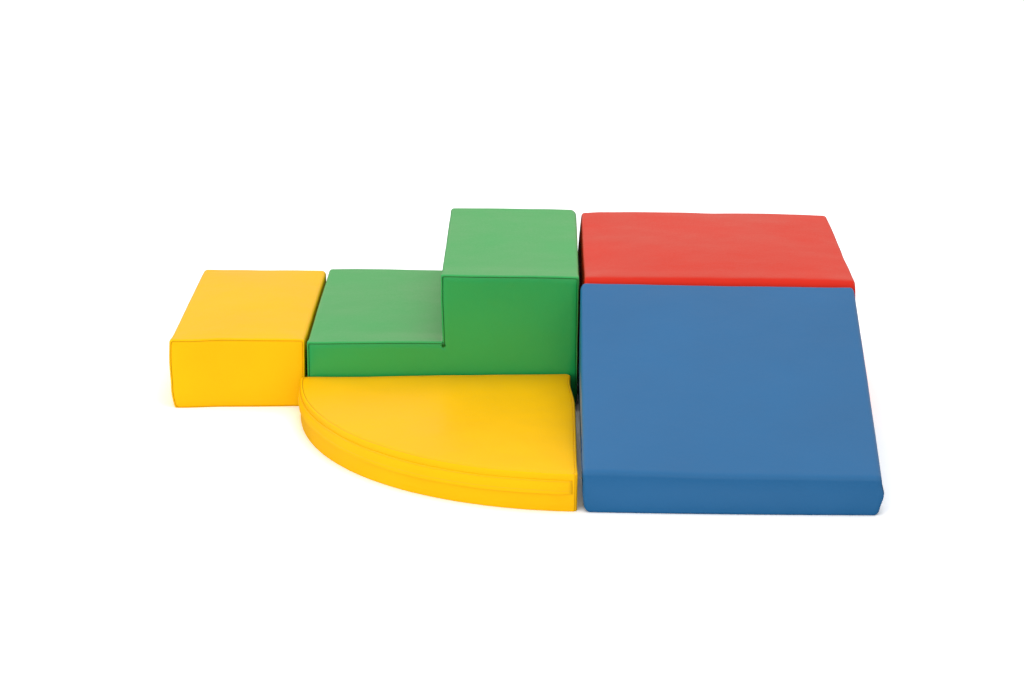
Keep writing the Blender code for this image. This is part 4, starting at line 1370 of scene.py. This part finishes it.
def make_vinyl(name, colour, shine, groove_shade_share):
    """Coated fabric: satin, finely grained, puckered along its seams, with painted shade darkening the bottom
    of each seam groove.
    """
    surface = Surface(name)
    drift = surface.noise(5.0, 3.0)
    mottle = surface.noise(240.0, 3.0)
    seam_near = surface.mark("seam_near")
    seam_run = surface.mark("seam_run")
    shade = surface.math("ADD", surface.math("MULTIPLY", drift, 0.7), surface.math("MULTIPLY", mottle, 0.3))
    body = surface.mix(surface.spread(shade, 0.35, 0.65, 0.0, 1.0), toned(colour, 0.95), toned(colour, 1.03))
    # Painted shade: the colour darkens to a share of itself in the bottom of each seam groove, where shade
    # falls.
    painted_groove_shade = surface.spread(seam_near, SEAM_REACH - GROOVE_SHADE_BAND[1], SEAM_REACH - GROOVE_SHADE_BAND[0], 0.0, 1.0)
    body = surface.mix(painted_groove_shade, body, toned(colour, groove_shade_share))
    near_seam = surface.spread(seam_near, SEAM_REACH - PUCKER_BAND[1], SEAM_REACH - PUCKER_BAND[0], 0.0, 1.0)
    run = surface.math("MULTIPLY", seam_run, 95.0)
    near = surface.math("MULTIPLY", seam_near, 22.0)
    pucker = surface.noise(1.0, 2.0, surface.point(run, near))
    surface.bump(surface.math("MULTIPLY", pucker, surface.math("POWER", near_seam, 2.0)), 0.0012)
    surface.bump(surface.noise(28.0, 2.0), 0.0006)
    surface.bump(surface.cells(950.0, 1.0, "SMOOTH_F1"), 0.00003)
    surface.bump(surface.noise(2600.0, 2.0), 0.00001)
    roughness = surface.spread(surface.math("ADD", mottle, drift), 0.8, 1.2, 0.34, 0.42)
    return surface.finish(body, roughness, IOR=1.5, Specular_IOR_Level=shine)


def make_thread(name, colour):
    surface = Surface(name)
    strands = surface.noise(3500.0, 2.0)
    body = surface.mix(strands, toned(colour, 0.6), toned(colour, 0.95))
    surface.bump(strands, 0.00006)
    return surface.finish(body, surface.spread(strands, 0.3, 0.7, 0.5, 0.7), Sheen_Weight=0.3)


def make_non_slip():
    """Dark base cloth with raised rubber dots."""
    surface = Surface("non_slip_cloth")
    dots = surface.spread(surface.cells(240.0, 0.0), 0.30, 0.36, 1.0, 0.0)
    weave = surface.noise(1800.0, 2.0)
    body = surface.mix(weave, (0.020, 0.020, 0.022), (0.045, 0.045, 0.048))
    body = surface.mix(dots, body, (0.012, 0.012, 0.013))
    surface.bump(weave, 0.00008)
    surface.bump(dots, 0.0006)
    return surface.finish(body, surface.spread(dots, 0.0, 1.0, 0.85, 0.62))


def make_foam():
    """Cut polyurethane foam with open pores."""
    surface = Surface("cut_foam")
    pores = surface.cells(620.0)
    drift = surface.noise(9.0, 3.0)
    body = surface.mix(drift, (0.78, 0.70, 0.47), (0.88, 0.82, 0.62))
    body = surface.mix(surface.spread(pores, 0.1, 0.4, 1.0, 0.0), body, (0.55, 0.48, 0.30))
    surface.bump(pores, 0.0006)
    surface.bump(surface.noise(2400.0, 2.0), 0.0002)
    return surface.finish(body, surface.spread(drift, 0.3, 0.7, 0.92, 1.0), Sheen_Weight=0.15)


def make_zip_tape():
    """Woven tape of the zips."""
    surface = Surface("woven_zip_tape")
    weave = surface.math("MULTIPLY", surface.wave(420.0, "DIAGONAL"), surface.wave(520.0, "Z"))
    body = surface.mix(weave, (0.012, 0.012, 0.013), (0.040, 0.040, 0.042))
    surface.bump(weave, 0.0002)
    return surface.finish(body, surface.spread(surface.noise(300.0), 0.3, 0.7, 0.75, 0.9), Sheen_Weight=0.2)


def make_zip_metal():
    """Nickel, tumbled, with worn high places."""
    surface = Surface("nickel_zip")
    wear = surface.noise(900.0, 4.0)
    body = surface.mix(surface.spread(wear, 0.35, 0.65, 0.0, 1.0), (0.46, 0.45, 0.43), (0.62, 0.61, 0.59))
    surface.bump(surface.noise(3000.0, 2.0), 0.00004)
    return surface.finish(body, surface.spread(wear, 0.3, 0.7, 0.28, 0.48), Metallic=1.0)


def make_hooks():
    """Stiff tape with rows of small hooks."""
    surface = Surface("hook_pile")
    hooks = surface.spread(surface.cells(760.0, 0.25), 0.18, 0.42, 1.0, 0.0)
    body = surface.mix(hooks, (0.010, 0.010, 0.011), (0.050, 0.050, 0.052))
    surface.bump(hooks, 0.0007)
    return surface.finish(body, surface.spread(surface.noise(500.0), 0.3, 0.7, 0.42, 0.6))


def make_loops():
    """Soft brushed pile."""
    surface = Surface("loop_pile")
    pile = surface.noise(1300.0, 5.0)
    tufts = surface.noise(260.0, 3.0)
    body = surface.mix(pile, (0.012, 0.012, 0.014), (0.075, 0.075, 0.080))
    surface.bump(tufts, 0.0006)
    surface.bump(pile, 0.0005)
    roughness = surface.spread(tufts, 0.3, 0.7, 0.88, 1.0)
    return surface.finish(body, roughness, Sheen_Weight=0.6, Sheen_Roughness=0.5)


FOAM = make_foam()
NON_SLIP = make_non_slip()
ZIP_TAPE = make_zip_tape()
ZIP_METAL = make_zip_metal()
HOOKS = make_hooks()
LOOPS = make_loops()
DARK_THREAD = make_thread("dark_thread", (0.03, 0.03, 0.03))
# The last number of each vinyl is how light its painted groove shade stays, as a share of its colour.
RED_VINYL = make_vinyl("red_vinyl_cover", RED, 0.22, 0.5)
BLUE_VINYL = make_vinyl("blue_vinyl_cover", BLUE, 0.50, 0.5)
GREEN_VINYL = make_vinyl("green_vinyl_cover", GREEN, 0.80, 0.4)
YELLOW_VINYL = make_vinyl("yellow_vinyl_cover", YELLOW, 0.12, 0.8)


# Modules
Module = namedtuple("Module", "name place softness seed slot vinyl thread panels")


def side_panels(name, low, high):
    return {
        WRAP: (name + "_cover", name + "_wrap"),
        LOW_PANEL: (f"{name}_cover_{low}", f"{name}_{low}_panel"),
        HIGH_PANEL: (f"{name}_cover_{high}", f"{name}_{high}_panel"),
        BASE: (name + "_cover_base", name + "_base"),
    }


PLATFORM = Module(
    "platform", PLATFORM_PLACE, platform_softness, 1, "red_vinyl", RED_VINYL, make_thread("red_thread", RED),
    side_panels("platform", "left", "right"),
)
RAMP = Module(
    "ramp", RAMP_PLACE, ramp_softness, 12, "blue_vinyl", BLUE_VINYL, make_thread("blue_thread", BLUE),
    side_panels("ramp", "left", "right"),
)
STEPS = Module(
    "steps", STEPS_PLACE, steps_softness, 23, "green_vinyl", GREEN_VINYL, make_thread("green_thread", GREEN),
    side_panels("steps", "front", "back"),
)
END_BLOCK = Module(
    "end_block", END_BLOCK_PLACE, end_block_softness, 34, "yellow_vinyl", YELLOW_VINYL,
    make_thread("yellow_thread", YELLOW), side_panels("end_block", "front", "back"),
)
MAT = Module(
    "mat", MAT_PLACE, mat_softness, 45, "yellow_vinyl", YELLOW_VINYL, make_thread("mat_thread", YELLOW),
    {
        WRAP: ("mat_cover_arc_band", "mat_arc_band"),
        STRAIGHT_SIDE: ("mat_cover_side_band", "mat_side_band"),
        HIGH_PANEL: ("mat_cover_top", "mat_top"),
        LOW_PANEL: ("mat_cover_base", "mat_base"),
    },
)


def plain(u, v):
    return np.array((u, v))


def both_ends(length, *distances):
    return [*distances, *(length - distance for distance in distances)]


def rectangle(lines):
    wide, high = len(lines[0]) - 1, len(lines[1]) - 1
    return [(0, 0), (wide, 0), (wide, high), (0, high)]


def box_block(axis, length, wide, high, grid, wide_marks, depth_marks, rims, radii, shape=plain):
    """Block of one straight module whose end faces are wide and high."""
    marks = [*edged(0.0, wide, grid.edge, grid.edge), *wide_marks, *both_ends(wide, *BASE_CUT)]
    lines = (
        spaced(marks, grid.cell),
        spaced([*edged(0.0, high, grid.edge, grid.edge), ZIP_LOW, ZIP_HIGH], grid.cell),
    )
    pinned = (nearest(lines[1], ZIP_LOW), nearest(lines[1], ZIP_HIGH)) if wide_marks else ()
    rows = make_rows(length, rims, grid, grid.rim_rows, BASE_CUT, depth_marks)
    return Block(axis, length, lines, shape, rectangle(lines), radii, rows, pinned)


def platform_block(grid):
    marks = both_ends(PLATFORM_WIDTH, ZIP_END_MARGIN)
    body = (BASE_RADIUS, BASE_RADIUS, PLATFORM_BACK_FOLD, PLATFORM_FRONT_FOLD)
    radii = ((BASE_RADIUS, BASE_RADIUS, PLATFORM_CORNER_FOLD, PLATFORM_FRONT_FOLD), body, body)
    size = (PLATFORM_WIDTH, PLATFORM_DEPTH, PLATFORM_HEIGHT)
    return box_block("x", *size, grid, (), marks, PLATFORM_RIMS, radii)


def ramp_block(grid):
    def slope(u, v):
        if v <= ZIP_HIGH:
            return np.array((u, v))
        share = (ramp_height(u) - ZIP_HIGH) / (RAMP_BACK_HEIGHT - ZIP_HIGH)
        return np.array((u, ZIP_HIGH + (v - ZIP_HIGH) * share))

    marks = both_ends(RAMP_DEPTH, ZIP_END_MARGIN)
    radii = [(BASE_RADIUS, BASE_RADIUS, RAMP_BACK_FOLD, RAMP_FRONT_FOLD)] * 3
    size = (RAMP_WIDTH, RAMP_DEPTH, RAMP_BACK_HEIGHT)
    return box_block("x", *size, grid, marks, (), RAMP_RIMS, radii, slope)


def steps_block(grid):
    across = spaced([
        *edged(0.0, LOW_TREAD_WIDTH, grid.edge, grid.crease),
        *edged(LOW_TREAD_WIDTH, STEPS_WIDTH, grid.edge, grid.edge),
        *both_ends(STEPS_WIDTH, *BASE_CUT, ZIP_END_MARGIN),
    ], grid.cell)
    up = spaced([
        *edged(0.0, LOW_TREAD_HEIGHT, grid.edge, grid.edge), ZIP_LOW, ZIP_HIGH,
        *edged(LOW_TREAD_HEIGHT, STEPS_HEIGHT, grid.crease, grid.edge),
    ], grid.cell)
    left = nearest(across, LOW_TREAD_WIDTH)
    level = nearest(up, LOW_TREAD_HEIGHT)
    wide, high = len(across) - 1, len(up) - 1
    corners = [(0, 0), (wide, 0), (wide, high), (left, high), (left, level), (0, level)]
    body = (BASE_RADIUS, BASE_RADIUS, STEPS_FOLD, STEPS_FOLD, CREASE_RADIUS, STEPS_FOLD)
    front, back, back_right = STEPS_CORNER_RADII
    radii = ([front] * len(corners), body, (back, back, back_right, back, back, back))
    pinned = (nearest(up, ZIP_LOW), nearest(up, ZIP_HIGH))
    rows = make_rows(STEPS_DEPTH, FRONT_RIMS, grid, grid.rim_rows, BASE_CUT)
    return Block("y", STEPS_DEPTH, (across, up), plain, corners, radii, rows, pinned, (left, level))


def end_block_block(grid):
    marks = both_ends(END_BLOCK_WIDTH, ZIP_END_MARGIN)
    body = (BASE_RADIUS, BASE_RADIUS, END_BLOCK_FOLD, END_BLOCK_FOLD)
    front, back = END_BLOCK_CORNER_RADII
    radii = ([front] * len(body), body, [back] * len(body))
    size = (END_BLOCK_DEPTH, END_BLOCK_WIDTH, END_BLOCK_HEIGHT)
    return box_block("y", *size, grid, marks, (), FRONT_RIMS, radii)


def mat_lines(grid):
    beside = [distance for distance in grid.mat_rim_rows if distance < MAT_SEAM_FROM_TIP]
    marks = [MAT_SEAM_FROM_TIP + way * distance for distance in beside for way in (-1.0, 1.0)]
    marks += [offset for offset in grid.edge if offset > max(marks)]
    return spaced([0.0, *marks, MAT_RADIUS], grid.cell)


def mat_block(grid):
    """The square grid is drawn into a quarter disc, with the square corner at its origin."""
    line = mat_lines(grid)

    def quarter(u, v):
        far = math.hypot(u, v)
        share = max(u, v) / far if far else 1.0
        return np.array((-u * share, -v * share))

    radii = [(MAT_CORNER_RADIUS, MAT_TIP_RADIUS, 0.0, MAT_TIP_RADIUS)] * 3
    rows = make_rows(MAT_HEIGHT, MAT_RIMS, grid, grid.mat_rim_rows, (), (MAT_ZIP_LOW, MAT_ZIP_HIGH))
    return Block("z", MAT_HEIGHT, (line, line), quarter, rectangle((line, line)), radii, rows)


def share_base(block, width, depth):
    """Cut the base out of the underside of the wrap."""
    def chosen(face, tag):
        centre = block.centre(face)
        if tag != WRAP or centre[2] > HAIR:
            return tag
        border = min(centre[0], width - centre[0], centre[1], depth - centre[1])
        if border > BASE_CUT[1]:
            return BASE
        return None if border > BASE_CUT[0] else WRAP
    block.retag(chosen)


def open_slit(block, panel, along_axis, length, outward_axis, outward):
    """Open the slit of the zip in one panel."""
    def chosen(face, tag):
        centre = block.centre(face)
        reach = block.verts[list(face), along_axis]
        inside = (
            tag == panel
            and ZIP_LOW < centre[2] < ZIP_HIGH
            and ZIP_END_MARGIN < reach.min() + SLIT_FIT
            and reach.max() - SLIT_FIT < length - ZIP_END_MARGIN
            and abs(centre[outward_axis] - outward) < SLIT_REACH
        )
        return None if inside else tag
    block.retag(chosen)


def share_band(block, line):
    """Split the mat's band into its arc and its straight sides, sewn together on the arc near the tips."""
    last = len(line) - 1
    gaps = np.array([
        line[min(i, j)] - MAT_SEAM_FROM_TIP if max(i, j) == last else -MAT_RADIUS for i, j in block.loop
    ])
    after = np.roll(gaps, -1)

    def chosen(face, tag):
        if tag != WRAP:
            return tag
        step = face[0] % block.count
        if max(abs(gaps[step]), abs(after[step])) < 2 * COLUMN_HALF_GAP:
            return None
        if gaps[step] < 0.0 and after[step] < 0.0:
            return STRAIGHT_SIDE
        centre = block.centre(face)
        along = MAT_RADIUS * math.atan2(-centre[1], -centre[0])
        in_slit = (
            MAT_ZIP_LOW < centre[2] < MAT_ZIP_HIGH
            and ZIP_END_MARGIN < along < MAT_RADIUS * math.pi / 2 - ZIP_END_MARGIN
        )
        return None if in_slit else WRAP
    block.retag(chosen)
    column_gap = np.full(len(block.verts), MAT_RADIUS)
    for row, facts in enumerate(block.rows):
        if facts.panel == WRAP:
            column_gap[row * block.count:(row + 1) * block.count] = gaps
    return column_gap


def build_straight(module, make_block, size, zip_panel, along_axis):
    """Cover, foam and zip of a module with straight sides; the zip runs along one axis on its far side."""
    outward_axis = 1 - along_axis
    length, outward = size[along_axis], size[outward_axis]
    block = make_block(FINE)
    share_base(block, *size)
    open_slit(block, zip_panel, along_axis, length, outward_axis, outward)
    dress(module, block, make_block(COARSE))
    corner = [0.0, 0.0, 0.0]
    corner[outward_axis] = outward
    add_zip(module, straight_side(corner, along_axis, outward_axis), length, ZIP_LEVEL)


def build_modules():
    straight = (
        (PLATFORM, platform_block, (PLATFORM_WIDTH, PLATFORM_DEPTH), WRAP, 0),
        (RAMP, ramp_block, (RAMP_WIDTH, RAMP_DEPTH), HIGH_PANEL, 1),
        (STEPS, steps_block, (STEPS_WIDTH, STEPS_DEPTH), HIGH_PANEL, 0),
        (END_BLOCK, end_block_block, (END_BLOCK_WIDTH, END_BLOCK_DEPTH), HIGH_PANEL, 0),
    )
    simulate([(facts[0], facts[1](TRIAL)) for facts in straight] + [(MAT, mat_block(TRIAL))])
    for facts in straight:
        build_straight(*facts)
    block = mat_block(FINE)
    column_gap = share_band(block, mat_lines(FINE))
    dress(MAT, block, mat_block(COARSE), MAT_LIP_DEPTH, column_gap)
    add_zip(MAT, round_side, MAT_RADIUS * math.pi / 2, MAT_ZIP_LEVEL)


def build_strips():
    for node, body, axis, sign in (
        ("platform_hook_strip_left", "platform", 0, -1),
        ("steps_loop_strip_right", "steps", 0, 1),
        ("platform_hook_strip_front", "platform", 1, -1),
        ("ramp_loop_strip_back", "ramp", 1, 1),
        ("steps_hook_strip_left", "steps", 0, -1),
        ("end_block_loop_strip_right", "end_block", 0, 1),
        ("steps_hook_strip_front", "steps", 1, -1),
        ("mat_loop_strip_back", "mat", 1, 1),
    ):
        material, slot = (HOOKS, "hook_tape") if "_hook_" in node else (LOOPS, "loop_tape")
        add_strip(node, body, axis, sign, material, slot)


build_modules()
build_strips()


# Floor, light and camera
def seen_or_not(tree, ray, unseen, seen):
    """Shader that is one thing to one kind of ray, and another to all other light."""
    path = tree.nodes.new("ShaderNodeLightPath")
    mix = tree.nodes.new("ShaderNodeMixShader")
    tree.links.new(path.outputs[ray], mix.inputs["Fac"])
    tree.links.new(unseen, mix.inputs[1])
    tree.links.new(seen, mix.inputs[2])
    return mix.outputs[0]


def coloured(tree, kind, colour, strength=None):
    made = tree.nodes.new(kind)
    made.inputs["Color"].default_value = (*colour, 1.0)
    if strength is not None:
        made.inputs["Strength"].default_value = strength
    return made.outputs[0]


def make_world():
    """White to the camera; softer in what the covers reflect; plain soft light from all around."""
    world = bpy.data.worlds.new("studio")
    bpy.context.scene.world = world
    world.use_nodes = True
    tree = world.node_tree
    white = (1.0, 1.0, 1.0)
    light = coloured(tree, "ShaderNodeBackground", white, AMBIENT)
    mirrored = coloured(tree, "ShaderNodeBackground", MIRRORED, 1.0)
    backdrop = coloured(tree, "ShaderNodeBackground", white, 1.0)
    shine = seen_or_not(tree, "Is Glossy Ray", light, mirrored)
    surface = seen_or_not(tree, "Is Camera Ray", shine, backdrop)
    tree.links.new(surface, tree.nodes["World Output"].inputs["Surface"])


def make_floor():
    mesh = bpy.data.meshes.new("floor")
    corners = [(-FLOOR_REACH, -FLOOR_REACH, 0.0), (FLOOR_REACH, -FLOOR_REACH, 0.0)]
    corners += [(FLOOR_REACH, FLOOR_REACH, 0.0), (-FLOOR_REACH, FLOOR_REACH, 0.0)]
    mesh.from_pydata(corners, [], [(0, 1, 2, 3)])
    floor = bpy.data.objects.new("floor", mesh)
    bpy.context.scene.collection.objects.link(floor)
    material = bpy.data.materials.new("floor")
    material.use_nodes = True
    tree = material.node_tree
    tree.nodes.remove(tree.nodes["Principled BSDF"])
    pale = coloured(tree, "ShaderNodeBsdfDiffuse", FLOOR_COLOUR)
    white = coloured(tree, "ShaderNodeBsdfDiffuse", (FLOOR_TO_CAMERA,) * 3)
    mirrored = coloured(tree, "ShaderNodeBsdfDiffuse", FLOOR_MIRRORED)
    shine = seen_or_not(tree, "Is Glossy Ray", pale, mirrored)
    surface = seen_or_not(tree, "Is Camera Ray", shine, white)
    tree.links.new(surface, tree.nodes["Material Output"].inputs["Surface"])
    mesh.materials.append(material)


def make_lamps():
    for name, place, size, power in LAMPS:
        light = bpy.data.lights.new(name, "AREA")
        light.size = size
        light.energy = power
        lamp = bpy.data.objects.new(name, light)
        lamp.location = place
        lamp.visible_glossy = False
        lamp.rotation_euler = (Vector(LAMP_AIM) - Vector(place)).to_track_quat("-Z", "Y").to_euler()
        bpy.context.scene.collection.objects.link(lamp)


def make_camera():
    data = bpy.data.cameras.new("camera")
    data.sensor_width = SENSOR_WIDTH
    data.lens = SENSOR_WIDTH * (FOCAL_PIXELS / PICTURE_WIDTH_PIXELS)
    data.clip_end = CAMERA_FAR
    camera = bpy.data.objects.new("camera", data)
    ahead = math.cos(CAMERA_PITCH)
    forward = Vector((-math.sin(CAMERA_YAW) * ahead, math.cos(CAMERA_YAW) * ahead, -math.sin(CAMERA_PITCH)))
    level = forward.cross(Vector((0.0, 0.0, 1.0))).normalized()
    upright = level.cross(forward)
    right = level * math.cos(CAMERA_ROLL) + upright * math.sin(CAMERA_ROLL)
    up = right.cross(forward)
    turned = Matrix((right, up, -forward)).transposed().to_4x4()
    camera.matrix_world = Matrix.Translation(CAMERA_PLACE) @ turned
    bpy.context.scene.collection.objects.link(camera)
    bpy.context.scene.camera = camera


make_world()
make_floor()
make_lamps()
make_camera()
bpy.context.scene.view_settings.view_transform = "Standard"
